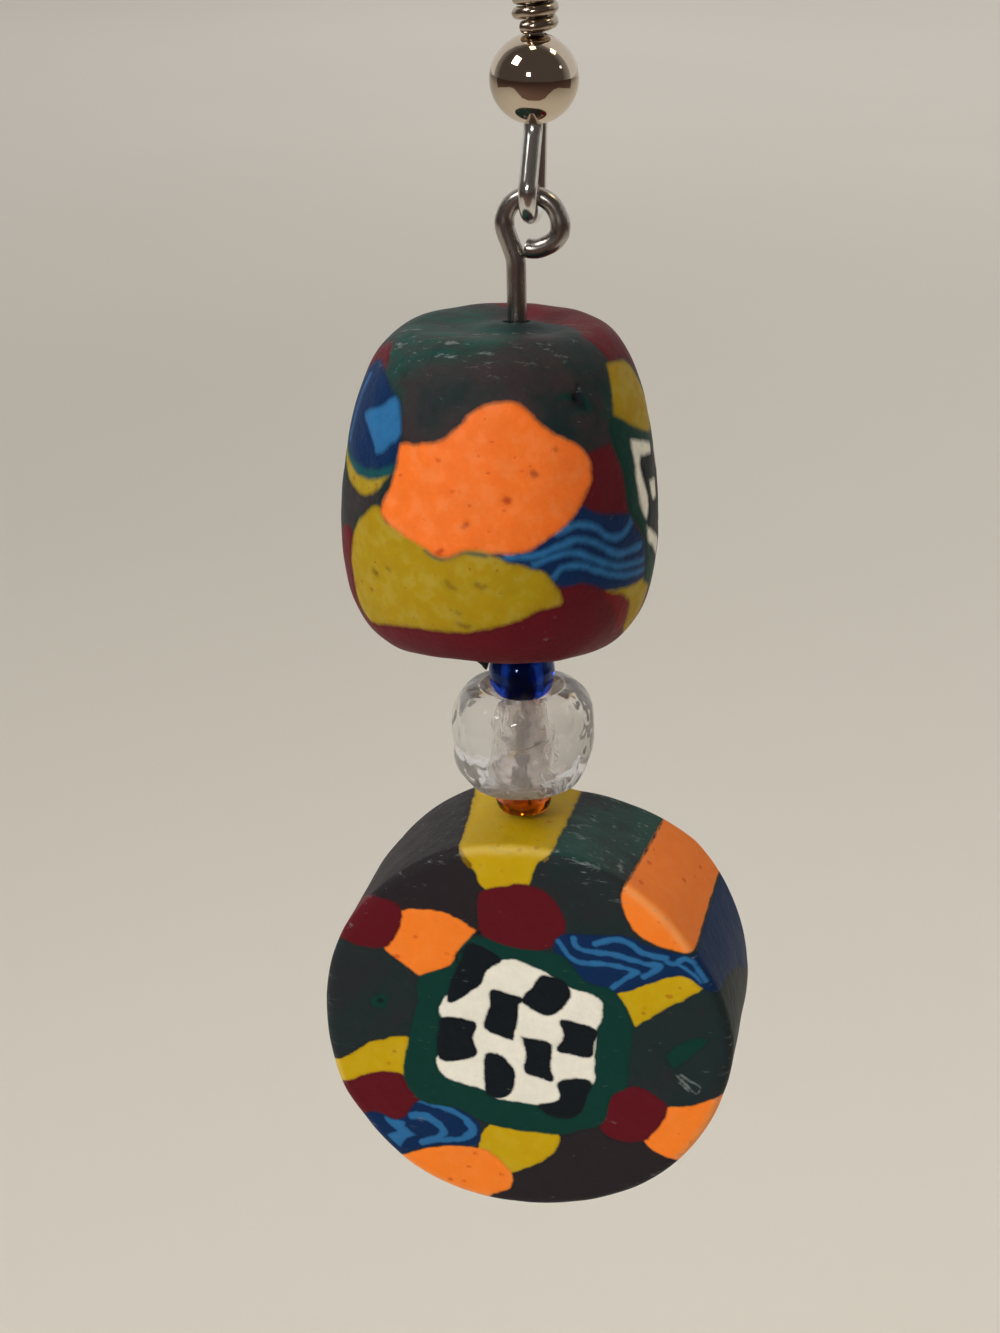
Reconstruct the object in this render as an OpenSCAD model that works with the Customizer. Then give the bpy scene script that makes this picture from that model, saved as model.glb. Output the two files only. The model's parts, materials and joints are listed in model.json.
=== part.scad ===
// One drop earring: an ear hook with a coil and a ball, and a head pin that hangs from its loop
// with a barrel bead, a blue bead, a clear bead, an amber bead and a round disc bead on it.
// Millimetres, +Z up. The origin is the underside of the hook's arc, where the ear carries it.
// The drop hangs from the front leg, at -Y, and the disc's patterned face looks towards -Y.

/* [Ear hook] */
// Diameter of the ear wire
wire_d = 0.64; // [0.6:0.02:0.7]
// Radius of the arc over the ear, to the wire's middle
arc_r = 4.3; // [3.8:0.1:5]
// Depth of the ball's middle below the arc's underside
ball_drop = 14.1; // [13.6:0.1:15]
// Depth of the loop's lowest wire, to its middle, below the ball's middle
loop_drop = 4.53; // [4.4:0.05:5]
// Radius of the loop under the ball, to the wire's middle
loop_r = 0.85; // [0.75:0.05:0.95]
// Radius of the bend that leads the loop back under the ball
neck_r = 1.2; // [1:0.1:1.6]
// Length of the straight rear leg
rear_len = 7.9; // [6:0.1:12]

/* [Coil and ball] */
// Diameter of the ball
ball_d = 3; // [2.8:0.1:3.2]
// Diameter of the fine wire of the coil
coil_wire_d = 0.43; // [0.38:0.01:0.44]
// Height that one turn of the coil climbs
coil_pitch = 0.46; // [0.46:0.01:0.52]
// Number of turns of the coil
coil_turns = 6.5; // [5:0.5:8]

/* [Head pin] */
// Diameter of the pin's wire
pin_d = 0.64; // [0.6:0.02:0.7]
// Radius of the pin's open loop, to the wire's middle
pin_loop_r = 0.95; // [0.9:0.05:1.05]
// Distance of the pin's axis from the middle of its loop, sideways
pin_offset = 0.56; // [0.54:0.02:0.66]
// Radius of the bend between the loop and the straight pin
pin_bend_r = 1.5; // [1.3:0.1:1.8]
// Depth below the loop's middle at which the pin runs straight
pin_bend_drop = 1.5; // [1.4:0.05:1.7]
// Direction of the loop's cut end, seen from its middle
pin_cut_deg = 260; // [260:1:275]
// Diameter of the flat head under the disc
head_d = 1.7; // [1.4:0.1:2.2]
// Thickness of the flat head
head_h = 0.4; // [0.3:0.05:0.6]
// Lean of the hanging pin, which brings its weight under the hook's loop
drop_tilt = 1.55; // [0:0.05:4]

/* [Barrel bead] */
// Diameter of the barrel bead at half its height
barrel_d = 11.08; // [10:0.02:12]
// Height of the barrel bead
barrel_h = 11.6; // [11:0.1:13]
// Radius of the flat ends of the barrel bead
barrel_end_r = 2.8; // [2:0.1:3.2]
// Squareness of the barrel's upper side, where 2 is an ellipse
barrel_high_square = 2.6; // [2.2:0.02:3]
// Squareness of the barrel's lower side
barrel_low_square = 2.34; // [2.2:0.02:3]
// Part of its radius that the barrel loses towards the top and gains towards the bottom
barrel_taper = 0.1; // [0:0.01:0.12]
// Distance of the barrel's middle from the pin, because its hole is off centre
barrel_off = -0.65; // [-0.9:0.01:0]
// Lean of the barrel's own axis against the pin
barrel_lean = 1; // [0:0.2:2]
// Depth from the hook loop's wire to the barrel's top
barrel_drop = 3.72; // [3.4:0.02:4.5]
// Depth of the hollow around the hole at the top
dimple_h = 0.35; // [0.2:0.05:0.5]
// Height of the raised lip around the hole at the bottom
lip_h = 0.45; // [0.3:0.05:0.6]

/* [Small beads] */
// Diameter of the blue bead
blue_d = 2.44; // [2.2:0.02:2.6]
// Height of the blue bead
blue_h = 1.75; // [1.5:0.05:1.9]
// Diameter of the clear bead
clear_d = 5.3; // [5:0.1:5.8]
// Height of the clear bead
clear_h = 4.15; // [4:0.05:4.6]
// Diameter of the amber bead
amber_d = 2.1; // [2:0.02:2.2]
// Height of the amber bead
amber_h = 1.36; // [1.3:0.02:1.5]

/* [Disc bead] */
// Diameter of the disc bead
disc_d = 15.72; // [14:0.02:18]
// Thickness of the disc bead, front to back
disc_t = 6.26; // [5:0.02:7]
// Radius of the disc's worn edges
disc_edge_r = 0.55; // [0.4:0.05:0.9]
// Distance of the disc's middle from the pin, because its hole is off centre
disc_off = 0.52; // [0:0.02:0.6]

/* [Holes and gaps] */
// Diameter of the holes of the two clay beads
clay_bore_d = 1.1; // [0.9:0.05:1.3]
// Diameter of the holes of the three small beads
glass_bore_d = 1; // [0.9:0.05:1.1]
// Diameter of the ball's hole
ball_bore_d = 0.8; // [0.78:0.01:0.9]
// Gap between pieces that touch
gap = 0.03; // [0.02:0.005:0.05]

/* [Part] */
// Piece to build, or all

/* [Hidden] */
$fn = 72;

// Metal and bead colours
STEEL = [0.78, 0.79, 0.8];
DARK_STEEL = [0.42, 0.38, 0.35];
ORANGE = [1, 0.5, 0.18];
COBALT = [0.05, 0.1, 0.55];
CLEAR = [0.86, 0.85, 0.84];
AMBER = [0.78, 0.36, 0.06];
CLAY_GREEN = [0.1, 0.33, 0.26];

// Steps along each quarter of a bead's profile, and round each worn edge
PROFILE_STEPS = 12;
EDGE_STEPS = 5;
// Sides of a bent wire, and the turn of each of its steps in degrees
WIRE_SIDES = 20;
BEND_STEP = 9;
// Thickness of a bent wire where it meets its straight cylinder, and how far it goes in
SLIM = 0.985;
SEAT = 0.02;
// Bevel at the rear leg's end
BEVEL = 0.12;
// Amount by which a cutter passes the face that it cuts
PAST = 0.5;

// Distance that the hook's neck reaches into the ball's hole
NECK_IN = 0.1;
// Width of the raised lip under the barrel, where it ends and where it starts
LIP_WALL = 0.45;
LIP_ROOT = 1;
// Width of the hollow's cutter against the flat end of the barrel
HOLLOW_SPREAD = 1.6;
// Squareness of the three small beads' sides, where 2 is an ellipse
BLUE_SQUARE = 2;
CLEAR_SQUARE = 2.1;
AMBER_SQUARE = 2.2;
// Width of the rim round a small bead's hole, and round the clear bead's mouths
HOLE_RIM = 0.05;
MOUTH_RIM = 0.06;
// Amount by which the mouths are narrower than the blue bead, all round
MOUTH_IN = 0.04;

// Ear hook, in a plane of (Y, Z)
front_y = -arc_r;
arc_z = wire_d / 2 - arc_r;
ball_z = -ball_drop;
pivot_z = ball_z - loop_drop;
loop_z = pivot_z + loop_r;
ball_r = ball_d / 2;
// The ball rests on the neck, whose bend starts just inside its hole
neck_z = ball_z - ball_r + NECK_IN;
neck_span = norm([neck_r, neck_z - loop_z]);
neck_deg = asin((loop_r + neck_r) / neck_span) - atan2(neck_r, neck_z - loop_z);
// The loop's free end stops under the ball's curved underside
tail_in = loop_r - wire_d / 2;
tail_z = ball_z - sqrt(ball_r * ball_r - tail_in * tail_in) - gap;

// Coil round the front leg, resting on the ball
coil_r = (wire_d + coil_wire_d) / 2 + gap;
coil_rest = ball_r + coil_wire_d / 2 + gap;
coil_z = ball_z + sqrt(coil_rest * coil_rest - coil_r * coil_r) + gap;
coil_lead = atan2(coil_pitch, 360 * coil_r * PI / 180);
COIL_SIDES = 10;
COIL_TURN_STEPS = 24;
coil_steps = COIL_TURN_STEPS * coil_turns;

// Head pin, in a plane of (X, Z) whose origin is the middle of the hook loop's lowest wire
hang_r = pin_loop_r - pin_d / 2 - wire_d / 2 - gap;
pin_loop_x = -hang_r * sin(drop_tilt);
pin_loop_z = -hang_r * cos(drop_tilt);
pin_x = pin_loop_x - pin_offset;
pin_bend_x = pin_x - pin_bend_r;
pin_bend_z = pin_loop_z - pin_bend_drop;
pin_span = norm([pin_offset + pin_bend_r, pin_bend_drop]);
pin_lean = asin((pin_loop_r + pin_bend_r) / pin_span)
         - atan2(pin_offset + pin_bend_r, pin_bend_drop);

// Places of the beads along the pin, from the top down
barrel_top = -barrel_drop;
barrel_low = barrel_top - barrel_h;
blue_top = barrel_low - lip_h - gap;
// Depths to which the blue and amber beads sit in the clear bead's mouths
blue_nest = 0.32;
amber_nest = 0.46;
mouth_r = blue_d / 2 - MOUTH_IN;
mouth_h = 0.85;
clear_top = blue_top - blue_h + blue_nest;
clear_low = clear_top - clear_h;
amber_top = clear_low + amber_nest;
disc_top = amber_top - amber_h - gap;
disc_r = disc_d / 2;
disc_drop = sqrt(disc_r * disc_r - disc_off * disc_off);
disc_z = disc_top - disc_r;
head_top = disc_z - disc_r - gap;

// Points of a bead's half profile: flat ends of radius end_r, and a bulged side
// whose squareness may differ below and above, and which may taper towards the top
function bead_side(d, h, end_r, low, high, taper) = [
    for (i = [-PROFILE_STEPS : PROFILE_STEPS])
        let (
            s = 90 * i / PROFILE_STEPS,
            square = i < 0 ? low : high,
            rise = sign(i) * pow(abs(sin(s)), 2 / square),
            bulge = (d / 2 - end_r) * pow(max(cos(s), 0), 2 / square)
        )
        [(end_r + bulge) * (1 - taper * rise), rise * h / 2]
];
function bead_profile(d, h, end_r, low, high, taper) =
    concat([[0, -h / 2]], bead_side(d, h, end_r, low, high, taper), [[0, h / 2]]);

// Points of the disc's half profile, with both edges rounded
function edge_arc(r, half_t, edge_r, from) = [
    for (i = [0 : EDGE_STEPS])
        let (a = from + 90 * i / EDGE_STEPS)
        [r - edge_r + edge_r * cos(a), (from < 0 ? edge_r - half_t : half_t - edge_r) + edge_r * sin(a)]
];
function disc_profile(r, half_t, edge_r) =
    concat([[0, -half_t]], edge_arc(r, half_t, edge_r, -90), edge_arc(r, half_t, edge_r, 0), [[0, half_t]]);

// Faces of a closed tube of so many rings, each of n points
function tube_faces(rings, n) = concat(
    [
        for (i = [0 : rings - 2], k = [0 : n - 1])
            let (a = i * n, b = (k + 1) % n)
            each [[a + k, a + n + b, a + b], [a + k, a + n + k, a + n + b]]
    ],
    [[for (k = [0 : n - 1]) k], [for (k = [n - 1 : -1 : 0]) (rings - 1) * n + k]]
);

// Centre of the coil's wire, and one ring of its section, after an angle a
function coil_point(a) = [coil_r * cos(a), coil_r * sin(a), coil_pitch * a / 360];
function coil_ring(a) = [
    for (k = [0 : COIL_SIDES - 1])
        let (
            q = 360 * k / COIL_SIDES,
            out = coil_wire_d / 2 * cos(q),
            up = -coil_wire_d / 2 * sin(q)
        )
        coil_point(a) + out * [cos(a), sin(a), 0]
            + up * [sin(a) * sin(coil_lead), -cos(a) * sin(coil_lead), cos(coil_lead)]
];

// Stations of a wire bent in a plane, as rows of [across, up, heading, thickness].
// A bend of radius r about c starts at angle from and turns by sweep, which is positive to the left.
// Its first and last stations may be slimmer, to sit inside the end face of a true cylinder.
function station(p, heading, thick = 1) = [p[0], p[1], heading, thick];
function bend(c, r, from, sweep, first = 1, last = 1) =
    let (steps = ceil(abs(sweep) / BEND_STEP), side = sweep < 0 ? -90 : 90)
    [for (i = [0 : steps])
        let (a = from + sweep * i / steps)
        station([c[0] + r * cos(a), c[1] + r * sin(a)], a + side,
                i == 0 ? first : i == steps ? last : 1)];

// Round wire of diameter d through rows of stations
module wire(rows, d) {
    points = [
        for (s = rows, k = [0 : WIRE_SIDES - 1])
            let (q = 360 * k / WIRE_SIDES, out = s[3] * d / 2 * cos(q))
            [s[0] - out * sin(s[2]), s[1] + out * cos(s[2]), s[3] * d / 2 * sin(q)]
    ];
    polyhedron(points = points, faces = tube_faces(len(rows), WIRE_SIDES));
}

// Local X, Y become Y, Z, and then X, Z
module in_yz() {
    rotate([90, 0, 90])
        children();
}
module in_xz() {
    rotate([90, 0, 0])
        children();
}

// Places a piece of the drop, which leans a little about the hook's loop
module hang() {
    translate([0, front_y, pivot_z])
        rotate([0, -drop_tilt, 0])
            children();
}

// Turned bead of a drawn profile
module turned_bead(d, h, end_r, low, high, taper = 0) {
    rotate_extrude()
        polygon(bead_profile(d, h, end_r, low, high, taper));
}

// Straight hole through a bead of height h about the origin
module hole(d, h) {
    translate([0, 0, -h / 2 - PAST])
        cylinder(h = h + 2 * PAST, d = d);
}

module ear_hook() {
    color(STEEL) {
        in_yz()
            wire(concat(
                [station([front_y + loop_r, tail_z], -90)],
                bend([front_y, loop_z], loop_r, 0, -180 - neck_deg),
                bend([front_y - neck_r, neck_z], neck_r, -neck_deg, neck_deg),
                bend([0, arc_z], arc_r, 180, -180, 1, SLIM)
            ), wire_d);
        translate([0, arc_r, arc_z - rear_len]) {
            cylinder(h = rear_len + SEAT, d = wire_d);
            translate([0, 0, -BEVEL])
                cylinder(h = BEVEL, r1 = wire_d / 2 - BEVEL, r2 = wire_d / 2);
        }
    }
}

module hook_coil() {
    points = [for (i = [0 : coil_steps]) each coil_ring(360 * coil_turns * i / coil_steps)];
    color(STEEL)
        translate([0, front_y, coil_z])
            polyhedron(points = points, faces = tube_faces(coil_steps + 1, COIL_SIDES));
}

module hook_ball() {
    color(STEEL)
        translate([0, front_y, ball_z])
            difference() {
                sphere(d = ball_d);
                hole(ball_bore_d, ball_d);
            }
}

// The flat head is the wire's last, thicker stretch
module head_pin() {
    spread = head_d / pin_d;
    color(DARK_STEEL)
        hang()
            in_xz()
                wire(concat(
                    bend([pin_loop_x, pin_loop_z], pin_loop_r, pin_cut_deg - 360,
                         540 + pin_lean - pin_cut_deg),
                    bend([pin_bend_x, pin_bend_z], pin_bend_r, pin_lean, -pin_lean),
                    [for (row = [[head_top, 1], [head_top, spread], [head_top - head_h, spread]])
                        station([pin_x, row[0]], -90, row[1])]
                ), pin_d);
}

// The hole is sunk in a shallow hollow above, and has a raised lip below
module barrel_bead() {
    lip_top_r = clay_bore_d / 2 + LIP_ROOT;
    lip_low_r = clay_bore_d / 2 + LIP_WALL;
    color(ORANGE)
        hang()
            translate([pin_x, 0, barrel_top - barrel_h / 2])
                difference() {
                    union() {
                        translate([barrel_off, 0, 0])
                            rotate([0, barrel_lean, 0])
                                turned_bead(barrel_d, barrel_h, barrel_end_r,
                                            barrel_low_square, barrel_high_square, barrel_taper);
                        translate([0, 0, -barrel_h / 2 - lip_h])
                            cylinder(h = 2 * lip_h, r1 = lip_low_r, r2 = 2 * lip_top_r - lip_low_r);
                    }
                    hole(clay_bore_d, barrel_h + 2 * lip_h);
                    translate([0, 0, barrel_h / 2 - dimple_h])
                        cylinder(h = 2 * dimple_h, r1 = clay_bore_d / 2, r2 = HOLLOW_SPREAD * barrel_end_r);
                }
}

module blue_bead() {
    color(COBALT)
        hang()
            translate([pin_x, 0, blue_top - blue_h / 2])
                difference() {
                    turned_bead(blue_d, blue_h, glass_bore_d / 2 + HOLE_RIM, BLUE_SQUARE, BLUE_SQUARE);
                    hole(glass_bore_d, blue_h);
                }
}

// The clear bead's hole widens at both ends, where its neighbours sit in it
module clear_bead() {
    color(CLEAR)
        hang()
            translate([pin_x, 0, clear_top - clear_h / 2])
                difference() {
                    turned_bead(clear_d, clear_h, mouth_r + MOUTH_RIM, CLEAR_SQUARE, CLEAR_SQUARE);
                    hole(glass_bore_d, clear_h);
                    for (side = [0, 1])
                        mirror([0, 0, side])
                            translate([0, 0, clear_h / 2 - mouth_h])
                                cylinder(h = 2 * mouth_h, r1 = glass_bore_d / 2,
                                         r2 = 2 * mouth_r - glass_bore_d / 2);
                }
}

module amber_bead() {
    color(AMBER)
        hang()
            translate([pin_x, 0, amber_top - amber_h / 2])
                difference() {
                    turned_bead(amber_d, amber_h, glass_bore_d / 2 + HOLE_RIM, AMBER_SQUARE, AMBER_SQUARE);
                    hole(glass_bore_d, amber_h);
                }
}

module disc_bead() {
    color(CLAY_GREEN)
        hang()
            translate([pin_x, 0, disc_z])
                difference() {
                    translate([disc_off, 0, 0])
                        rotate([90, 0, 0])
                            rotate_extrude()
                                polygon(disc_profile(disc_r, disc_t / 2, disc_edge_r));
                    hole(clay_bore_d, disc_d);
                }
}

ear_hook();
hook_coil();
hook_ball();
head_pin();
barrel_bead();
blue_bead();
clear_bead();
amber_bead();
disc_bead();
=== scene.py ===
"""A millefiori drop earring: bright ear wire, dark head pin, two patchwork clay beads and three glass beads.

Lengths are worked out in millimetres and become metres where a mesh is made.
The drop's pieces share a local frame (across, back, up) whose origin is the middle of the ear
wire's lowest loop, and whose up direction is the leaning pin.
"""
import json
from types import SimpleNamespace

import bpy
import numpy as np
from bpy.props import FloatProperty, FloatVectorProperty, PointerProperty
from bpy.types import Operator, Panel, PropertyGroup
from mathutils import Matrix, Vector


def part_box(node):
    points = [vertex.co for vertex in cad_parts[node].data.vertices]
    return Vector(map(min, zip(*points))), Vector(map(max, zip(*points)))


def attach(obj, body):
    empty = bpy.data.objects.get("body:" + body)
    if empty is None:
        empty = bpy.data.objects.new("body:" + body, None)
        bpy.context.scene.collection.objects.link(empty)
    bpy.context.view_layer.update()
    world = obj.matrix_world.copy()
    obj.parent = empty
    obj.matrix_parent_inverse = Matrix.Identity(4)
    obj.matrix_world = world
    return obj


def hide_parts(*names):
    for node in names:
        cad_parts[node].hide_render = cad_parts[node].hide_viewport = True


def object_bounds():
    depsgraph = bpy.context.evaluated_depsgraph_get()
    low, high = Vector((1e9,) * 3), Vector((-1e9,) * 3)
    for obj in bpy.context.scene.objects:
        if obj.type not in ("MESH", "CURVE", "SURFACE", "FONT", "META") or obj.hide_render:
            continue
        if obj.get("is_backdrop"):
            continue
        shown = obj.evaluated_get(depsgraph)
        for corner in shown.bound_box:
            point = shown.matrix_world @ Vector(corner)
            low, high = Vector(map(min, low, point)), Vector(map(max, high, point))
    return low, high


bl_info = {
    "name": "Millefiori drop earring",
    "version": (1, 0, 0),
    "blender": (4, 5, 0),
    "location": "3D View > Sidebar > Earring",
    "description": "Makes a patchwork clay drop earring on its ear wire",
    "category": "Object",
}

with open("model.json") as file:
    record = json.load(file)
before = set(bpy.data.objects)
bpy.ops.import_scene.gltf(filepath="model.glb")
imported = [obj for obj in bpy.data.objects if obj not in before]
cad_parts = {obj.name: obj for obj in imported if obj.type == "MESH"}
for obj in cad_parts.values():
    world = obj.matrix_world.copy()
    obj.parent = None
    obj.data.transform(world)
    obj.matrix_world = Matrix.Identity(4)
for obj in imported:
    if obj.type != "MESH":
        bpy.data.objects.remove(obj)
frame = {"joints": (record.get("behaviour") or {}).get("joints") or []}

MM = 0.001
TURN = 2 * np.pi
JOINTS = {joint["name"]: joint for joint in frame["joints"]}
PIVOT = np.array(JOINTS["drop_swing"]["pos_m"]) / MM
UP = np.array(JOINTS["barrel_spin"]["axis"], float)
BACK = np.array([0.0, 1.0, 0.0])
DROP_AXES = np.array([np.cross(BACK, UP), BACK, UP])

# How many points lie round each kind of piece
WIRE_SIDES = 28
COIL_SIDES = 14
DRILL_SIDES = 40
BEAD_SIDES = 96
BARREL_SIDES = 400
DISC_SIDES = 500
FLOOR_SIDES = 64
# How many points lie along a turn of the coil, the pin's loop and a stretch of outline
COIL_STEPS = 48
LOOP_STEPS = 90
OUTLINE_STEPS = 4
# How many rings lie along the barrel's side, its dimple, its lip and its hole
BARREL_STEPS = 190
DIMPLE_STEPS = 21
LIP_STEPS = 8
HOLE_STEPS = 6
# How many points lie along the disc's front radius, its rim and its back radius
FRONT_STEPS = 86
RIM_STEPS = 46
BACK_STEPS = 58
# How many points lie along half a small bead's side, a mouth and the hole's wall
SIDE_STEPS = 30
MOUTH_STEPS = 8
WALL_STEPS = 26


def hung(points):
    """Points of the drop's local frame (across, back, up) in the shared frame, in millimetres."""
    return PIVOT + np.asarray(points, float) @ DROP_AXES


def unhung(points):
    """Points of the shared frame in the drop's local frame, in millimetres."""
    return (np.asarray(points, float) - PIVOT) @ DROP_AXES.T


BARREL_AT = unhung(np.array(JOINTS["barrel_spin"]["pos_m"]) / MM)
DISC_AT = unhung(np.array(JOINTS["disc_spin"]["pos_m"]) / MM)
PIN_X = BARREL_AT[0]


def lengths(group):
    """Every single number of a property group by name, with its lengths in millimetres."""
    numbers = [p for p in group.bl_rna.properties if p.type == "FLOAT" and not p.is_array]
    units = {p.identifier: MM if p.unit == "LENGTH" else 1 for p in numbers}
    return SimpleNamespace(**{name: getattr(group, name) / unit for name, unit in units.items()})


def size(name, description, default):
    """A length property whose default is given in millimetres."""
    return FloatProperty(name=name, description=description, default=default * MM, min=0,
                         unit="LENGTH", subtype="DISTANCE", precision=5)


def angle(name, description, default):
    """An angle property whose default is given in degrees."""
    return FloatProperty(name=name, description=description, default=np.radians(default),
                         unit="ROTATION", subtype="ANGLE")


def watts(name, description, default):
    """A lamp's power property."""
    return FloatProperty(name=name, description=description, default=default, unit="POWER")


def plain(name, description, default):
    """A property that is a plain number."""
    return FloatProperty(name=name, description=description, default=default)


def paint(name, description, red, green, blue):
    """A colour property, given as it looks on a screen, from 0 to 255."""
    screen = np.array([red, green, blue]) / 255
    linear = np.where(screen <= 0.04045, screen / 12.92, ((screen + 0.055) / 1.055) ** 2.4)
    return FloatVectorProperty(name=name, description=description, subtype="COLOR", size=3,
                               min=0, max=1, default=tuple(linear))


class WireSizes(PropertyGroup):
    """The ear wire, its coil and ball, and the head pin."""

    wire_d: size("Ear wire", "Diameter of the ear wire", 0.64)
    arc_r: size("Arc", "Radius of the arc over the ear, to the wire's middle", 4.3)
    rear_len: size("Rear leg", "Length of the straight rear leg", 7.9)
    loop_r: size("Hook loop", "Radius of the loop under the ball, to the wire's middle", 0.85)
    neck_r: size("Neck", "Radius of the bend between the loop and the ball", 1.2)
    coil_wire_d: size("Coil wire", "Diameter of the fine wire of the coil", 0.43)
    coil_pitch: size("Coil pitch", "Height that one turn of the coil climbs", 0.46)
    coil_turns: plain("Coil turns", "Number of turns of the coil", 6.5)
    ball_bore_d: size("Ball hole", "Diameter of the ball's hole", 0.8)
    pin_d: size("Pin", "Diameter of the head pin's wire", 0.64)
    pin_loop_r: size("Pin loop", "Radius of the pin's open loop, to the wire's middle", 0.95)
    pin_bend_r: size("Pin bend", "Radius of the bend between the loop and the straight pin", 1.5)
    pin_bend_drop: size("Pin bend depth", "Depth below the loop's middle where the pin runs straight", 1.5)
    pin_cut: angle("Cut end", "Direction of the loop's cut end from its middle", 254)
    pin_end_in: size("Cut end drawn in", "How far the loop's cut end lies inside its circle", 0.09)
    pin_fuller: size("Fuller pin", "How much thicker the pin's wire is below its loop", 0.02)
    head_d: size("Head", "Diameter of the flat head under the disc", 1.7)
    head_h: size("Head height", "Thickness of the flat head", 0.4)
    gap: size("Gap", "Gap between pieces that touch", 0.03)


class BeadSizes(PropertyGroup):
    """The clay and glass beads."""

    barrel_d: size("Barrel", "Diameter of the barrel bead at half its height", 11.08)
    barrel_h: size("Barrel height", "Height of the barrel bead", 11.6)
    barrel_end_r: size("Barrel end", "Radius of the flat ends of the barrel bead", 2.8)
    barrel_off: size("Barrel offset", "Distance of the barrel's middle from the pin", 0.65)
    barrel_lean: angle("Barrel lean", "Lean of the barrel's own axis against the pin", 1)
    barrel_taper: plain("Barrel taper", "Share of its radius lost at the top", 0.1)
    dimple_h: size("Dimple", "Depth of the hollow round the hole at the top", 0.22)
    lip_h: size("Lip", "Height of the raised lip round the hole at the bottom", 0.45)
    clay_bore_d: size("Clay hole", "Diameter of the holes of the clay beads", 0.8)
    disc_d: size("Disc", "Diameter of the disc bead", 15.72)
    disc_t: size("Disc thickness", "Thickness of the disc bead, front to back", 6.26)
    disc_edge_r: size("Disc edge", "Radius of the disc's worn edges", 0.45)
    disc_off: size("Disc offset", "Distance of the disc's middle from the pin", 0.52)
    glass_bore_d: size("Glass hole", "Diameter of the holes of the small beads", 1.0)
    blue_d: size("Blue bead", "Diameter of the blue bead", 2.44)
    blue_h: size("Blue bead height", "Height of the blue bead", 1.85)
    clear_d: size("Clear bead", "Diameter of the clear bead", 5.3)
    clear_h: size("Clear bead height", "Height of the clear bead", 3.9)
    clear_bore_d: size("Clear bead hole", "Diameter of the clear bead's frosted hole", 1.3)
    mouth_r: size("Mouth", "Radius of the clear bead's wide mouths", 1.55)
    mouth_h: size("Mouth depth", "Depth of the clear bead's wide mouths", 0.85)
    amber_d: size("Amber bead", "Diameter of the amber bead", 2.1)
    amber_h: size("Amber bead height", "Height of the amber bead", 1.36)


class ClayColours(PropertyGroup):
    """The colours of the clay patches."""

    charcoal: paint("Charcoal", "Grey-green clay", 28, 44, 45)
    slate: paint("Slate", "Browner grey clay", 36, 41, 43)
    purple: paint("Purple", "Blackish purple clay", 39, 33, 37)
    plum: paint("Plum", "Brownish purple clay of the barrel", 54, 46, 48)
    moss: paint("Moss", "Dark green clay smeared over the grey", 34, 74, 66)
    pine: paint("Pine", "Blue-green clay smeared over the barrel's top", 8, 68, 60)
    yellow: paint("Yellow", "Bright yellow clay of the disc", 201, 166, 2)
    mustard: paint("Mustard", "Dull yellow clay of the barrel", 172, 146, 12)
    orange: paint("Orange", "Bright orange clay of the barrel", 255, 127, 44)
    tangerine: paint("Tangerine", "Bright orange clay of the disc", 255, 134, 40)
    umber: paint("Umber", "Brownish smudges in the yellow clay", 128, 100, 12)
    rust: paint("Rust", "Reddish specks in the orange clay", 196, 58, 16)
    red: paint("Red", "Dark red clay", 94, 12, 25)
    scarlet: paint("Scarlet", "Brighter red clay", 118, 10, 18)
    navy: paint("Navy", "Dark blue clay", 2, 40, 84)
    sky: paint("Sky", "Light blue clay", 40, 106, 158)
    green: paint("Green", "Dark green border clay", 2, 56, 48)
    teal: paint("Teal", "Blue-green clay", 14, 78, 84)
    white: paint("White", "Off-white clay", 240, 236, 220)
    black: paint("Black", "Blue-black clay", 14, 22, 28)
    scuff: paint("Scuff", "Pale marks where the clay has been rubbed", 128, 138, 136)


class StageLook(PropertyGroup):
    """The floor and the lights."""

    floor_drop: size("Floor depth", "Depth of the floor below the earring", 60)
    floor_colour: paint("Floor", "Pale floor", 240, 236, 227)
    dim_colour: paint("Dim floor", "Floor near the photographer, in metal and glass only", 138, 112, 104)
    key_power: watts("Key light", "Power of the large light", 0.107)
    fill_power: watts("Fill light", "Power of the light from the right", 0.03)
    lamp_power: watts("White lamp", "Power of the lamp at the upper left", 0.5)
    spark_power: watts("Warm lamps", "Power of each small warm lamp", 0.12)
    glint_power: watts("Glint", "Power of the lamp that shows only in glass and metal", 0.36)
    wall_power: watts("Pale wall", "Power of the wall behind, in glass and metal only", 20)
    floor_power: watts("Floor light", "Power of the light over the floor behind", 2.3)
    room_light: plain("Room", "Strength of the light of the room", 0.36)


class Value:
    """A number on its way through a material: an output socket that takes Python's arithmetic."""

    def __init__(self, nodes, socket):
        self.nodes = nodes
        self.socket = socket

    def math(self, operation, *values):
        """One step of arithmetic on sockets and plain numbers."""
        return self.nodes.node("ShaderNodeMath", {"operation": operation}, dict(enumerate(values)))

    def __add__(self, other):
        return self.math("ADD", self, other)

    def __sub__(self, other):
        return self.math("SUBTRACT", self, other)

    def __rsub__(self, other):
        return self.math("SUBTRACT", other, self)

    def __mul__(self, other):
        return self.math("MULTIPLY", self, other)

    def __truediv__(self, other):
        return self.math("DIVIDE", self, other)

    __radd__ = __add__
    __rmul__ = __mul__

    def clip(self):
        """The value held between 0 and 1."""
        return self.nodes.node("ShaderNodeClamp", {}, {"Value": self})

    def above(self, level, softness):
        """0 under the level and 1 over it, with a ramp of the given width."""
        return ((self - level) / softness + 0.5).clip()


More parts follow.
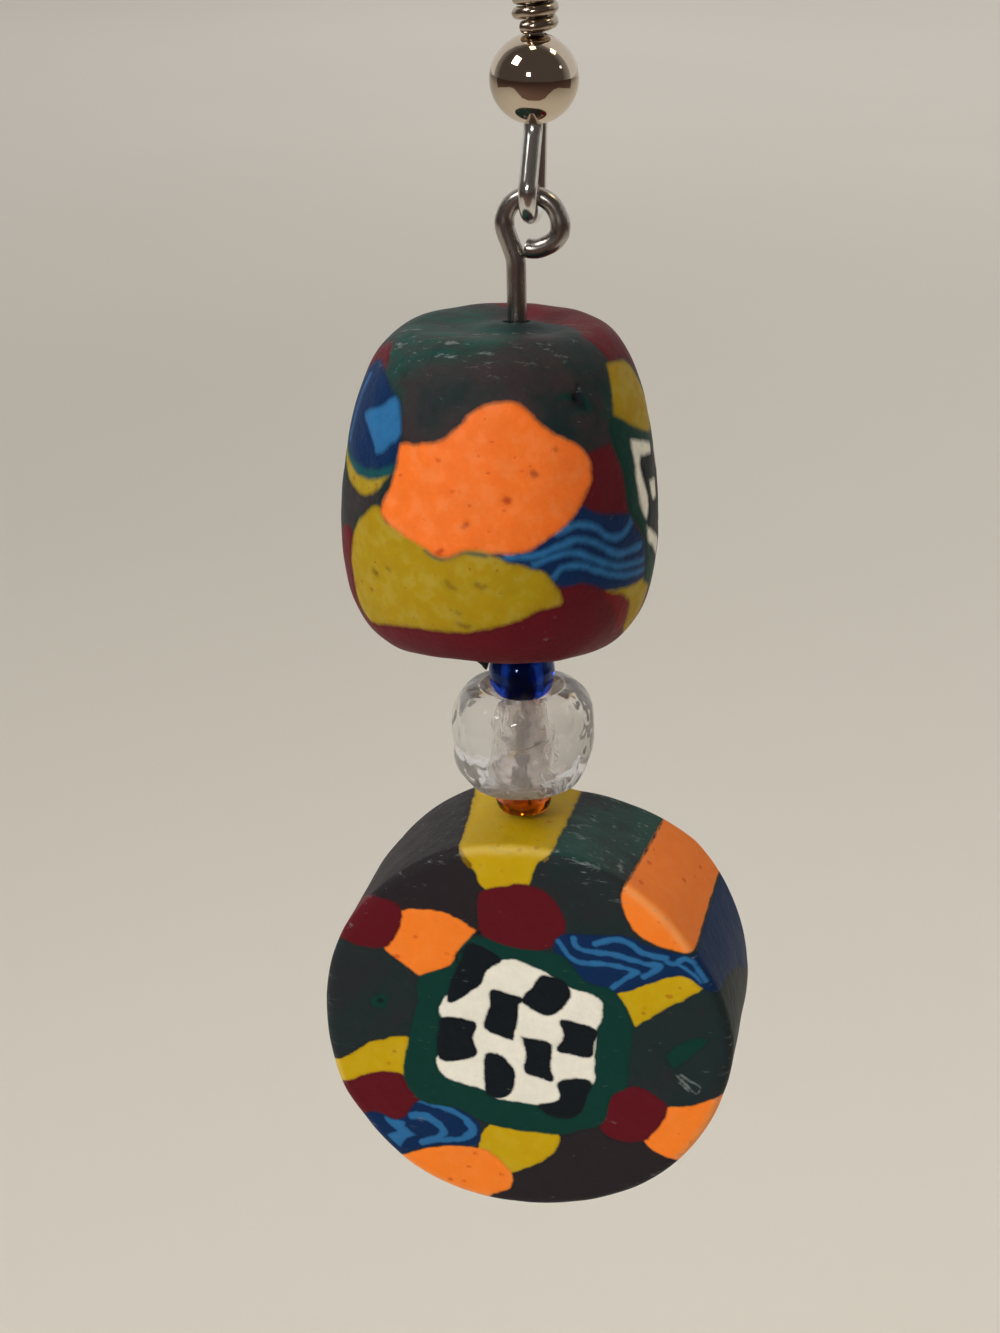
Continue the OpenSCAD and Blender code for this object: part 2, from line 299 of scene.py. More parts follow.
class Nodes:
    """The nodes of a material or of the room, all of them added by one method."""

    def __init__(self, tree):
        self.tree = tree
        self.tree.nodes.clear()

    def node(self, kind, settings=None, inputs=None, out=0):
        """Adds a node, sets it up, fills or links its inputs and returns one of its outputs, if any."""
        node = self.tree.nodes.new(kind)
        for key, value in (settings or {}).items():
            setattr(node, key, value)
        for key, value in (inputs or {}).items():
            socket = self.socket(node.inputs, key)
            if isinstance(value, Value):
                self.tree.links.new(value.socket, socket)
            else:
                socket.default_value = value
        return Value(self, self.socket(node.outputs, out)) if node.outputs else None

    @staticmethod
    def socket(sockets, key):
        """The socket with this number, or with this identifier, or else with this name."""
        if isinstance(key, int):
            return sockets[key]
        found = [s for s in sockets if s.identifier == key] or [s for s in sockets if s.name == key]
        return found[0]

    def mix(self, mask, low, high, blend="MIX"):
        """A colour blended from low to high."""
        return self.node("ShaderNodeMix", {"data_type": "RGBA", "blend_type": blend},
                         {"Factor_Float": mask, "A_Color": low, "B_Color": high}, "Result_Color")


class Finish(Nodes):
    """A material's nodes, with the place in millimetres at hand."""

    def __init__(self, name):
        self.material = bpy.data.materials.new(name)
        self.material.use_nodes = True
        super().__init__(self.material.node_tree)
        place = self.node("ShaderNodeTexCoord", out="Object")
        self.place_mm = self.node("ShaderNodeVectorMath", {"operation": "SCALE"},
                                  {"Vector": place, "Scale": 1 / MM})

    def number(self, attribute):
        """A number kept at the mesh's points."""
        return self.node("ShaderNodeAttribute", {"attribute_name": attribute}, out="Fac")

    def vector(self, attribute):
        """Three numbers kept at the mesh's points."""
        return self.node("ShaderNodeAttribute", {"attribute_name": attribute}, out="Vector")

    def noise(self, scale, detail, roughness=0.5, at=None):
        """Cloudy noise around 0.5, with so many blobs a millimetre."""
        return self.node("ShaderNodeTexNoise", {}, {"Vector": at or self.place_mm, "Scale": scale,
                                                    "Detail": detail, "Roughness": roughness}, "Fac")

    def stretched(self, scale, turn):
        """The place in millimetres, turned and then scaled along each axis."""
        return self.node("ShaderNodeMapping", {"vector_type": "POINT"},
                         {"Vector": self.place_mm, "Scale": scale, "Rotation": turn})

    def grey(self, value):
        """A grey whose three parts are the value."""
        return self.node("ShaderNodeCombineColor", {}, {"Red": value, "Green": value, "Blue": value})

    def shaded(self, tone, value):
        """A colour made darker or lighter by a value around 1."""
        return self.mix(1.0, tone, self.grey(value), "MULTIPLY")

    def bump(self, height_mm):
        """A normal tilted by a height in millimetres."""
        inputs = {"Height": height_mm, "Strength": 1.0, "Distance": MM}
        return self.node("ShaderNodeBump", {}, inputs, "Normal")

    def surface(self, settings):
        """Ends the material in a Principled shader with these inputs."""
        shader = self.node("ShaderNodeBsdfPrincipled", {}, settings)
        self.node("ShaderNodeOutputMaterial", {}, {"Surface": shader})
        return self.material


LIGHT_CLAYS = ("yellow", "orange", "umber", "rust")
BLOT_TINT = (0.94, 0.76, 0.6, 1)
CLOUD_TINT = (0.93, 0.86, 0.75, 1)
BLUSH_TINT = (1, 0.8, 0.6, 1)
SPECK_TINT = (0.78, 0.5, 0.36, 1)
# Pale tint of the disc's rubbed front edge, partly a painted highlight
EDGE_WEAR_AND_HIGHLIGHT_TINT = (1.0, 0.8, 0.36, 1)


def colour(name):
    """A clay colour as a shader wants it."""
    return (*getattr(bpy.context.scene.clay_colours, name), 1)


def clay(name, base, second, layers, tones, mottled, smeared, edge):
    """Baked polymer clay: patches laid over a base, each where its distance is below 0.

    The base drifts between two colours. Each patch blends over the width of an edge. Its boundary
    wanders by a little noise, and the moss's by a smear in millimetres. A layer takes the colour of
    its own name, or the one that tones has for it. Colour is mottled by a share, with dark specks on
    the light clays, pale rubbed marks on the dark ones and along rubbed edges, which also lighten the light
    clays as a painted highlight, fine pits, and a shallow groove at each seam, darkened as painted shade.
    The scuff layer only says where the clay is rubbed."""
    finish = Finish(name)
    wander = (finish.noise(2.2, 2.0) - 0.5) * 0.16 + (finish.noise(9.0, 1.0) - 0.5) * 0.04
    brushed = finish.noise(1.0, 4.0, 0.65, finish.stretched((0.7, 1.6, 2.6), (0.2, 0.3, 0.5)))
    drift = finish.noise(0.5, 3.0, 0.6)
    tone = finish.mix(drift.above(0.5, 0.2), colour(base), colour(second))
    light = 0.0
    seam = 1.0
    for layer in layers:
        if layer == "scuff":
            continue
        if layer == "moss":
            moss = finish.number("cane_moss") + (brushed - 0.5) * smeared
            mask = (0.5 - moss / (edge + smeared * 0.2)).clip()
            mask = mask * (1 - (0.52 - brushed).above(0.0, 0.16) * smeared * 0.3)
        else:
            distance = finish.number("cane_" + layer) + wander
            mask = (0.5 - distance / edge).clip()
            near = (distance.math("ABSOLUTE", distance) / (edge + 0.03)).clip()
            seam = near * (seam * (1 - mask) + mask)
        tone = finish.mix(mask, tone, colour(tones.get(layer, layer)))
        light = mask * (1.0 if layer in LIGHT_CLAYS else 0.0) + (1 - mask) * light
    grit = finish.noise(2.6, 4.0, 0.72)
    grain = finish.noise(15.0, 2.0, 0.6)
    cloud = finish.noise(0.9, 3.0, 0.6)
    blot = finish.noise(1.6, 2.5, 0.55)
    mottle = 1.0 + ((grit - 0.5) * (0.5 - light * 0.42) + (cloud - 0.5) * 0.3
                    + (grain - 0.5) * (0.14 - light * 0.08)) * mottled
    # Each seam's groove is darkened: painted shade
    tone = finish.shaded(tone, mottle - (1 - seam) * 0.12)
    warm = light * mottled
    tone = finish.mix(blot.above(0.54, 0.3) * warm * 0.6, tone, BLOT_TINT, "MULTIPLY")
    tone = finish.mix(cloud.above(0.5, 0.3) * warm * 0.6, tone, CLOUD_TINT, "MULTIPLY")
    tone = finish.mix((0.5 - blot).above(0.08, 0.2) * warm * 0.04, tone, BLUSH_TINT)
    cells = {"Vector": finish.stretched((1.0, 1, 1.4), (0.4, 0.2, 0.9)), "Scale": 2.0, "Randomness": 1.0}
    spot = finish.node("ShaderNodeTexVoronoi", {}, cells, "Distance") + (grain - 0.5) * 0.3
    draw = finish.node("ShaderNodeTexVoronoi", {}, cells, "Color")
    chance = finish.node("ShaderNodeSeparateColor", {}, {"Color": draw}, "Red")
    girth = finish.node("ShaderNodeSeparateColor", {}, {"Color": draw}, "Green")
    specks = (0.07 + girth * girth * 0.2 - spot).above(0.0, 0.12) * chance.above(0.6, 0.1) * light
    tone = finish.mix(specks * 0.8, tone, SPECK_TINT, "MULTIPLY")
    worn = finish.number("worn")
    # Light clays lightened along the disc's front edge: partly wear, partly a painted highlight
    tone = finish.mix(worn * light * 0.2, tone, EDGE_WEAR_AND_HIGHLIGHT_TINT)
    rubbed = (0.5 - finish.number("cane_scuff") + worn * 0.6).clip()
    hair = finish.noise(1.0, 3.0, 0.7, finish.stretched((0.9, 2.6, 4.4), (0.3, 0.5, 0.3)))
    marks = hair.above(0.615, 0.06) * grit.above(0.47, 0.2) * rubbed
    dust = hair.above(0.68, 0.06) * grit.above(0.55, 0.15) * (1 - light) + rubbed * (grit * 0.07)
    tone = finish.mix((marks * 0.75 + dust * 0.3).clip(), tone, colour("scuff"))
    pits = finish.node("ShaderNodeTexVoronoi", {}, {"Vector": finish.place_mm, "Scale": 3.5}, "Distance")
    height = (cloud * 0.06 + grit * 0.03 + grain * 0.006 + pits.above(0.1, 0.12) * 0.008 + marks * 0.015
              + seam * 0.014 - specks * 0.014)
    rough = (0.42 + cloud * 0.16 + marks * 0.2 + grain * 0.06).clip()
    return finish.surface({"Base Color": tone, "Roughness": rough, "Normal": finish.bump(height),
                           "Specular IOR Level": 0.15, "IOR": 1.48})


def metal(name, rgb, rough, streak):
    """Drawn wire: long fine scratches along the wire, worked out on its own grain coordinates."""
    finish = Finish(name)
    grain = finish.vector("grain")
    lines = finish.noise(6.0, 3.0, 0.6, grain)
    patches = finish.noise(1.6, 2.0)
    tone = finish.shaded((*rgb, 1), 1.0 - streak * 0.5 + lines * streak)
    return finish.surface({"Base Color": tone, "Metallic": 1.0,
                           "Roughness": (rough + lines * 0.12 + patches * 0.08 - 0.08).clip(),
                           "Normal": finish.bump(lines * 0.004 + patches * 0.006)})


def mirror(name, rgb, rough):
    """Polished plated metal with a trace of waviness."""
    finish = Finish(name)
    patches = finish.noise(1.2, 2.0)
    return finish.surface({"Base Color": (*rgb, 1), "Metallic": 1.0,
                           "Roughness": (rough + patches * 0.05).clip(),
                           "Normal": finish.bump(patches * 0.01)})


def glass(name, rgb, hole_rgb, dull_rgb, waves, hole_waves, hole_rough,
          shine=(1, 1, 1), clear=1.0, lining=0.0):
    """Pressed glass with soft waves in its surface, and a hole that is frosted or lined with silver.

    The hole's wall drifts between two colours. Waves are heights in millimetres. Shine tints what
    the glass mirrors, clear is the share of light that it lets through, and lining is the share of
    metal in the hole's wall."""
    finish = Finish(name)
    hole = finish.number("hole")
    height = finish.noise(1.3, 1.0) * waves + hole * finish.noise(3.0, 2.0) * hole_waves
    wall = finish.mix(finish.noise(1.1, 2.0).above(0.5, 0.2), (*hole_rgb, 1), (*dull_rgb, 1))
    settings = {"Base Color": finish.mix(hole, (*rgb, 1), wall), "Transmission Weight": clear, "IOR": 1.5,
                "Roughness": hole * (hole_rough - 0.02) + 0.02, "Normal": finish.bump(height),
                "Specular Tint": (*shine, 1)}
    if lining:
        settings["Metallic"] = hole * lining
    return finish.surface(settings)


def arc(centre, radius, start, sweep, step=4.0):
    """Points of a plane arc about a centre, from an angle through a sweep, in degrees."""
    a = np.radians(np.linspace(start, start + sweep, int(abs(sweep) / step) + 2))
    return np.asarray(centre) + radius * np.stack([np.cos(a), np.sin(a)], axis=1)


def tube(path, radius, side, sides=WIRE_SIDES):
    """Rings of a wire: at each point of the path a circle lies across the path's direction.

    Its first axis is the side direction and its second is the path's direction crossed with it."""
    along = np.gradient(path, axis=0)
    along /= np.linalg.norm(along, axis=1, keepdims=True)
    side = np.broadcast_to(side, path.shape)
    q = (TURN * np.arange(sides) / sides)[None, :, None]
    spokes = np.cos(q) * side[:, None] + np.sin(q) * np.cross(along, side)[:, None]
    radius = np.broadcast_to(radius, len(path))
    return path[:, None] + radius[:, None, None] * spokes


def tube_grain(path, sides=WIRE_SIDES):
    """Grain coordinates of a tube: the cosine and sine round it, and a slow count along it."""
    run = np.r_[0, np.cumsum(np.linalg.norm(np.diff(path, axis=0), axis=1))]
    q = TURN * np.arange(sides) / sides
    turn = np.stack([np.cos(q), np.sin(q)], axis=1)
    slow = 0.22
    return np.concatenate([np.broadcast_to(turn, (len(path), sides, 2)),
                           np.broadcast_to(run[:, None, None] * slow, (len(path), sides, 1))], axis=2)


def skin(name, rings, closed=False, sharp=35.0, fields=None):
    """A closed mesh through rings of points, shaped (rings, points, 3), in millimetres.

    Quads join each ring to the next. A closed skin joins its last ring to its first, and an open
    one ends in a fan at the mean of each end ring. Faces are turned outwards by the sign of the volume."""
    count, around = rings.shape[:2]
    points = rings.reshape(-1, 3)
    row = np.arange(count if closed else count - 1)
    a = row[:, None] * around + np.arange(around)[None]
    b = row[:, None] * around + np.roll(np.arange(around), -1)[None]
    up = ((row + 1) % count - row)[:, None] * around
    quads = np.stack([a, b, b + up, a + up], axis=2).reshape(-1, 4)
    fans = np.zeros((0, 3), int)
    if not closed:
        points = np.vstack([points, rings[0].mean(axis=0), rings[-1].mean(axis=0)])
        ring, after = np.arange(around), np.roll(np.arange(around), -1)
        low = np.stack([after, ring, np.full(around, len(points) - 2)], axis=1)
        last = (count - 1) * around
        high = np.stack([last + ring, last + after, np.full(around, len(points) - 1)], axis=1)
        fans = np.vstack([low, high])
    triangles = np.vstack([quads[:, :3], quads[:, [0, 2, 3]], fans])
    corner = points[triangles]
    if np.einsum("ij,ij->", corner[:, 0], np.cross(corner[:, 1], corner[:, 2])) < 0:
        quads, fans = quads[:, ::-1], fans[:, ::-1]
    mesh = bpy.data.meshes.new(name)
    mesh.from_pydata((points * MM).tolist(), [], quads.tolist() + fans.tolist())
    for key, values in (fields or {}).items():
        values = values.reshape(count * around, -1)
        if not closed:
            ends = [values[:around].mean(axis=0), values[-around:].mean(axis=0)]
            values = np.vstack([values, ends])
        store(mesh, key, values)
    piece = bpy.data.objects.new(name, mesh)
    bpy.context.scene.collection.objects.link(piece)
    smooth(mesh, sharp)
    return piece


def smooth(mesh, sharp):
    """Smooth shading, but for edges that turn by more than an angle in degrees."""
    mesh.shade_smooth()
    mesh.set_sharp_from_angle(angle=np.radians(sharp))


def store(mesh, key, values):
    """Keeps one or three numbers at each point of a mesh."""
    kind, slot = ("FLOAT", "value") if values.shape[1] == 1 else ("FLOAT_VECTOR", "vector")
    mesh.attributes.new(key, kind, "POINT").data.foreach_set(slot, values.astype(np.float32).ravel())


def settle(piece, material, node, body):
    """Gives a finished piece its material and body, and hides the CAD node that it stands for."""
    piece.data.materials.append(material)
    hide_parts(node)
    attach(piece, body)


def spun(profile):
    """Rings of a turned piece: its profile of (radius, height) carried round an upright axis."""
    q = TURN * np.arange(BEAD_SIDES) / BEAD_SIDES
    radius, height = profile.T[:, :, None]
    x = radius * np.cos(q)
    return np.stack([x, radius * np.sin(q), np.broadcast_to(height, x.shape)], axis=2)


def bulge(diameter, height, end_r, low, high, taper=0.0, steps=48):
    """A bead's side from bottom to top, as (radius, height).

    Both are powers of the sine and cosine of one angle, which makes a superellipse. The power is 2
    over low in the lower half and 2 over high in the upper one, and the radius shrinks in
    proportion to the height by the taper."""
    s = np.linspace(-np.pi / 2, np.pi / 2, 2 * steps + 1)
    square = np.where(s < 0, low, high)
    rise = np.sign(s) * np.abs(np.sin(s)) ** (2 / square)
    out = (diameter / 2 - end_r) * np.maximum(np.cos(s), 0) ** (2 / square)
    return np.stack([(end_r + out) * (1 - taper * rise), rise * height / 2], axis=1)


def even(line, count):
    """A line of points spread out again at equal steps."""
    run = np.r_[0, np.cumsum(np.linalg.norm(np.diff(line, axis=0), axis=1))]
    at = np.linspace(0, run[-1], count)
    return np.stack([np.interp(at, run, line[:, k]) for k in range(line.shape[1])], axis=1)


def outward(grid):
    """Unit normals of a grid of points: the cross product of the steps between its neighbours."""
    along = np.roll(grid, -1, axis=0) - np.roll(grid, 1, axis=0)
    across = np.roll(grid, -1, axis=1) - np.roll(grid, 1, axis=1)
    normal = np.cross(along, across)
    return normal / np.maximum(np.linalg.norm(normal, axis=2, keepdims=True), 1e-9)


def lumps(points, depth, size_mm, seed):
    """How far a hand-shaped surface lies inside its true form, from 0 to the depth.

    It is a sum of waves in seeded directions, each about size_mm long."""
    rng = np.random.default_rng(seed)
    total = np.zeros(len(points))
    waves = 9
    for _ in range(waves):
        heading = rng.normal(size=3)
        heading *= TURN / (size_mm * rng.uniform(0.7, 1.5) * np.linalg.norm(heading))
        total += np.sin(points @ heading + rng.uniform(0, TURN))
    return depth * (0.5 + np.clip(total / (2.2 * np.sqrt(waves)), -0.5, 0.5))


def rounded(outline, closed):
    """A smooth line through an outline's points.

    Between two points p and q it is the cubic that leaves p and reaches q in the directions of the
    points' neighbours, at no more than the length of the shorter side. A doubled point is a corner."""
    p = np.asarray(outline, float)
    before, after = np.roll(p, 1, axis=0), np.roll(p, -1, axis=0)
    if not closed:
        before[0], after[-1] = p[0], p[-1]
    tangent = (after - before) / 2
    shorter = np.minimum(np.linalg.norm(p - before, axis=1), np.linalg.norm(after - p, axis=1))
    if not closed:
        shorter[[0, -1]] = np.linalg.norm(tangent[[0, -1]], axis=1)
    tangent *= np.minimum(1, shorter / np.maximum(np.linalg.norm(tangent, axis=1), 1e-9))[:, None]
    q, leave = np.roll(p, -1, axis=0), np.roll(tangent, -1, axis=0)
    t = (np.arange(OUTLINE_STEPS) / OUTLINE_STEPS)[None, :, None]
    curve = ((2 * t ** 3 - 3 * t ** 2 + 1) * p[:, None] + (t ** 3 - 2 * t ** 2 + t) * tangent[:, None]
             + (3 * t ** 2 - 2 * t ** 3) * q[:, None] + (t ** 3 - t ** 2) * leave[:, None])
    return curve.reshape(-1, 2) if closed else np.vstack([curve[:-1].reshape(-1, 2), p[-1:]])


# Distances to patches are worked out up to this many millimetres
REACH = 0.5


def line_distance(u, v, k, line, closed):
    """Distance to a line of points, negative inside a closed one, by the crossing rule.

    u is measured in units of k, which may differ from point to point."""
    inside = np.zeros(len(u), bool)
    nearest = np.full(len(u), np.inf)
    ends = np.roll(line, -1, axis=0) if closed else line[1:]
    for (u0, v0), (u1, v1) in zip(line, ends):
        du, dv = (u1 - u0) * k, v1 - v0
        a, b = (u - u0) * k, v - v0
        along = np.clip((a * du + b * dv) / np.maximum(du * du + dv * dv, 1e-12), 0, 1)
        nearest = np.minimum(nearest, (a - along * du) ** 2 + (b - along * dv) ** 2)
        if closed and v0 != v1:
            inside ^= ((v0 > v) != (v1 > v)) & (u < u0 + (v - v0) * (u1 - u0) / dv)
    distance = np.sqrt(nearest)
    return np.where(inside, -distance, distance)


def chart(u, v, stretch, marks, layers):
    """Distance fields of a bead's patches: for each layer, the nearest patch's signed distance.

    A mark is (layer, half width, points). A half width of 0 makes a patch, and more makes a line of
    that half width. Where u is an angle, stretch gives the millimetres in a degree and u wraps.
    Otherwise it is None and u is in millimetres."""
    fields = {layer: np.full(len(u), REACH) for layer in layers}
    scale = np.ones(len(u)) if stretch is None else stretch
    for layer, half, points in marks:
        line = rounded(points, closed=half == 0)
        middle = (line[:, 0].min() + line[:, 0].max()) / 2
        across = u - middle if stretch is None else (u - middle + 180) % 360 - 180
        line = line - [middle, 0]
        low, high = line.min(axis=0), line.max(axis=0)
        room = REACH + half
        near = ((across > low[0] - room / scale) & (across < high[0] + room / scale)
                & (v > low[1] - room) & (v < high[1] + room))
        if near.any():
            found = line_distance(across[near], v[near], scale[near], line, half == 0) - half
            fields[layer][near] = np.minimum(fields[layer][near], found)
    return fields


BARREL_LAYERS = ("moss", "red", "scarlet", "yellow", "teal", "green", "black", "white", "navy", "sky",
                 "orange", "umber", "rust", "scuff")

# Marks on the barrel: layer, half width of a line or 0 for a patch, and points as
# (degrees to the right of the front, millimetres above half height along the surface)
BARREL_MARKS = (
    ("moss", 0, ((-78, 6.1), (-60, 5.2), (-45, 4.2), (-36, 4.7), (-25, 5.4), (-6, 5.7), (12, 6.4),
        (22, 7.4), (10, 8.6), (-60, 8.9), (-140, 8.6), (-150, 7.5), (-125, 6.3))),
    ("moss", 0, ((-52, 3.9), (-40, 4.6), (-33, 4.4), (-33, 3.7), (-42, 3.5))),
    ("moss", 0, ((56, 3.4), (60, 4.2), (70, 4.6), (70, 3.2), (62, 3.0))),
    ("scuff", 0, ((-70, 5.0), (-30, 5.3), (0, 5.7), (35, 5.8), (75, 6.4), (100, 7.6), (0, 8.6),
        (-80, 7.8))),
    ("red", 0, ((71, 5.1), (69, 6.4), (96, 7.6), (128, 8.6), (160, 9.0), (172, 8.7), (178, 8.0),
        (192, 7.2), (206, 6.2), (208, 5.2), (196, 4.4), (160, 3.8), (120, 3.4), (100, 4.0), (86, 5.0))),
    ("red", 0, ((-79, 4.4), (-79, 5.1), (-66, 5.7), (-53, 5.0), (-55, 4.4), (-66, 4.3))),
    ("red", 0, ((44, 2.4), (58, 2.5), (62, 1.5), (64, 0.0), (60, -0.4), (42, 0.3), (38, 0.4),
        (44, 1.5))),
    ("red", 0, ((-110, -3.8), (-84, -2.2), (-66, -1.2), (-57, -1.0), (-50, -1.6), (0, -2.6), (28, -2.0),
        (42, -1.9), (56, -2.4), (70, -3.2), (100, -3.9), (100, -9.5), (0, -9.5), (-110, -9.5))),
    ("red", 0, ((95, -3.8), (130, -4.4), (180, -4.6), (230, -4.2), (252, -3.6), (255, -9.5),
        (180, -9.5), (95, -9.5))),
    ("scarlet", 0, ((49, -2.5), (60, -2.8), (66, -3.3), (68, -4.1), (63, -4.6), (58, -3.6))),
    ("yellow", 0, ((68, 5.1), (85, 4.9), (93, 3.8), (96, 3.0), (91, 2.2), (73, 2.7), (61, 3.3),
        (64, 4.3))),
    ("yellow", 0, ((-39, 0.3), (-34, -0.2), (-28, -0.2), (-16, -0.4), (0, -0.4), (9, -0.5), (16, -0.9),
        (24, -1.2), (28, -1.6), (33, -2.6), (26, -2.8), (19, -3.1), (7, -3.5), (-5, -3.75),
        (-27, -3.95), (-50, -4.4), (-56, -3.8), (-57, -2.2), (-52, -0.7))),
    ("yellow", 0, ((51, -2.5), (59, -2.3), (75, -2.6), (82, -3.2), (82, -4.4), (74, -5.0), (68, -4.4),
        (66, -3.4), (60, -2.9))),
    ("yellow", 0, ((-80, 2.4), (-74, 1.4), (-62, 0.65), (-50, 0.4), (-44, 0.55), (-38, 0.95),
        (-33, 1.6), (-38, 1.9), (-60, 1.8))),
    ("yellow", 0, ((228, 3.2), (244, 3.6), (262, 2.9), (262, 1.4), (244, 0.7), (226, 1.6))),
    ("yellow", 0, ((140, -2.9), (165, -3.4), (200, -3.3), (224, -2.8), (228, -4.0), (196, -4.8),
        (150, -4.6))),
    ("green", 0, ((57, 3.2), (58, 2.4), (62, 1.4), (63, 0.0), (67, -0.4), (73, -1.3), (75, -2.8),
        (95, -3.7), (125, -3.3), (137, -1.0), (131, 1.6), (112, 2.8), (93, 2.1), (73, 2.8), (62, 3.4))),
    ("teal", 0, ((-78, 2.9), (-66, 2.2), (-50, 1.9), (-38, 2.1), (-30, 2.6), (-31, 1.6), (-38, 1.25),
        (-48, 1.0), (-60, 1.1), (-72, 1.6))),
    ("green", 0, ((232, -0.4), (250, 0.2), (272, -0.2), (280, -1.8), (262, -3.2), (238, -2.6))),
    ("green", 0, ((34, 4.3), (38, 4.3), (42, 4.15), (46, 3.75), (51, 3.8), (49.5, 4.05), (46.5, 4.65),
        (45.5, 4.2), (40, 4.55))),
    ("black", 0, ((41, 4.2), (44, 3.95), (47, 3.85), (47, 4.35), (45.8, 4.75), (44.3, 4.4))),
    # A thin teal line along the orange patch's lower edge: painted greenish shade at that seam
    ("teal", 0.05, ((-16, -0.85), (-10, -1.05), (-2, -0.75), (6, -0.8))),
    ("black", 0, ((71, 2.1), (90, 1.6), (115, 1.9), (124, 0.0), (116, -2.4), (90, -2.8), (79, -1.8),
        (75, -0.4), (70, 0.6))),
    ("white", 0, ((69.5, 2.4), (86, 1.9), (86, 1.55), (75, 1.7), (73.4, 1.3), (77, 0.2), (75.2, -0.5),
        (72.2, -0.2), (69.8, 0.9))),
    ("white", 0, ((80, 0.7), (89, 0.5), (88, -0.1), (82, 0.0))),
    ("white", 0, ((75, -0.8), (90, -1.7), (89, -2.3), (77, -1.4))),
    ("white", 0, ((95, 1.5), (109, 1.4), (107, 0.7), (95, 0.8))),
    ("white", 0, ((98, 0.2), (114, 0.1), (112, -0.8), (99, -0.7))),
    ("white", 0, ((94, -1.2), (103, -1.3), (102, -2.2), (95, -2.1))),
    ("navy", 0, ((7, -0.75), (14, -0.6), (21, -0.5), (29, -0.1), (36, 0.4), (41, 0.7), (49, 0.25),
        (63, 0.0), (66, -0.5), (73, -1.4), (75, -2.7), (55, -2.6), (41, -2.05), (32, -2.05), (27, -1.5),
        (19, -1.2), (14, -1.05))),
    ("navy", 0, ((-77, 3.8), (-71, 4.7), (-60, 5.0), (-45, 4.4), (-35, 4.0), (-30.5, 3.3), (-29.5, 2.5),
        (-31.5, 1.9), (-38, 1.6), (-50, 1.35), (-66, 1.6), (-75, 2.4))),
    ("navy", 0, ((140, 3.1), (165, 3.4), (200, 3.0), (216, 2.0), (190, 1.3), (160, 1.2), (140, 1.9))),
    ("sky", 0, ((-57, 3.1), (-51, 3.4), (-45, 3.6), (-40, 4.0), (-36, 4.05), (-30.5, 3.5), (-29.5, 3.1),
        (-31.5, 2.7), (-35.5, 2.4), (-39, 2.1), (-42.5, 2.0), (-46, 2.4), (-51, 2.7))),
    ("sky", 0.1, ((-66, 4.3), (-68, 3.4), (-68.5, 2.6), (-67, 1.9))),
    ("sky", 0.12, ((31, -0.15), (38, 0.05), (46, -0.15), (53, -0.65), (60, -0.65), (66, -0.2))),
    ("sky", 0.12, ((13, -0.85), (23, -0.85), (31, -0.6), (39, -0.45), (47, -0.75), (56, -1.3),
        (70, -1.35))),
    ("sky", 0.11, ((23, -1.15), (29, -0.95), (38, -0.9), (47, -1.35), (57, -1.75), (72, -1.95))),
    ("sky", 0.11, ((28.5, -1.8), (32.5, -1.35), (40, -1.4), (49, -1.8), (59, -2.15), (73, -2.35))),
    ("sky", 0.12, ((143, 2.8), (165, 3.0), (190, 2.6), (209, 2.2))),
    ("sky", 0.12, ((145, 2.3), (165, 2.5), (188, 2.1), (205, 1.8))),
    ("sky", 0.12, ((150, 1.7), (168, 1.9), (187, 1.6))),
    ("orange", 0, ((-29.5, 2.6), (-14, 2.85), (-6, 3.4), (-1, 3.9), (6, 4.25), (14.5, 4.35), (21, 4.1),
        (27, 3.5), (35, 3.05), (42, 2.65), (46, 2.1), (46, 1.5), (40, 0.6), (34, 0.1), (26, -0.4),
        (20, -0.7), (10, -0.75), (0, -0.65), (-9, -1.0), (-17, -0.75), (-28, -0.4), (-37, 0.1),
        (-32, 1.1), (-30, 1.9))),
    ("orange", 0, ((150, -0.4), (165, 0.6), (190, 0.9), (212, 0.2), (222, -1.2), (205, -2.6),
        (175, -3.0), (154, -2.0))),
    ("umber", 0.05, ((-7.5, -1.85), (-6.5, -2.0), (-4.8, -2.05))),
    ("umber", 0.05, ((3.0, -1.85), (4.5, -1.95), (5.5, -1.92))),
    ("umber", 0.04, ((-4.5, -2.95), (-3.2, -3.0))),
    ("umber", 0.06, ((-4.0, -3.38), (-2.0, -3.45), (0.0, -3.44))),
    ("umber", 0.05, ((-41.0, -2.15), (-39.5, -2.22))),
    ("umber", 0.04, ((-33.5, -1.85), (-32.0, -1.9))),
    ("rust", 0.06, ((23.0, 1.95), (23.8, 1.9))),
    ("rust", 0.08, ((13.0, 1.1), (13.6, 1.07))),
    ("rust", 0.05, ((-1.2, 0.2), (-0.8, 0.22))),
    ("rust", 0.04, ((-11.5, -0.9), (-9.5, -0.75))),
    ("rust", 0.03, ((31.7, 2.7), (32.0, 2.66))),
    # A black patch on the underside round the nib: painted shade under the barrel
    ("black", 0, ((-95, -8.1), (-55, -7.9), (-15, -8.2), (-10, -9.5), (-100, -9.5))),
)

DISC_LAYERS = ("purple", "moss", "yellow", "orange", "red", "navy", "sky", "green", "white", "black", "umber",
               "chalk", "scuff")

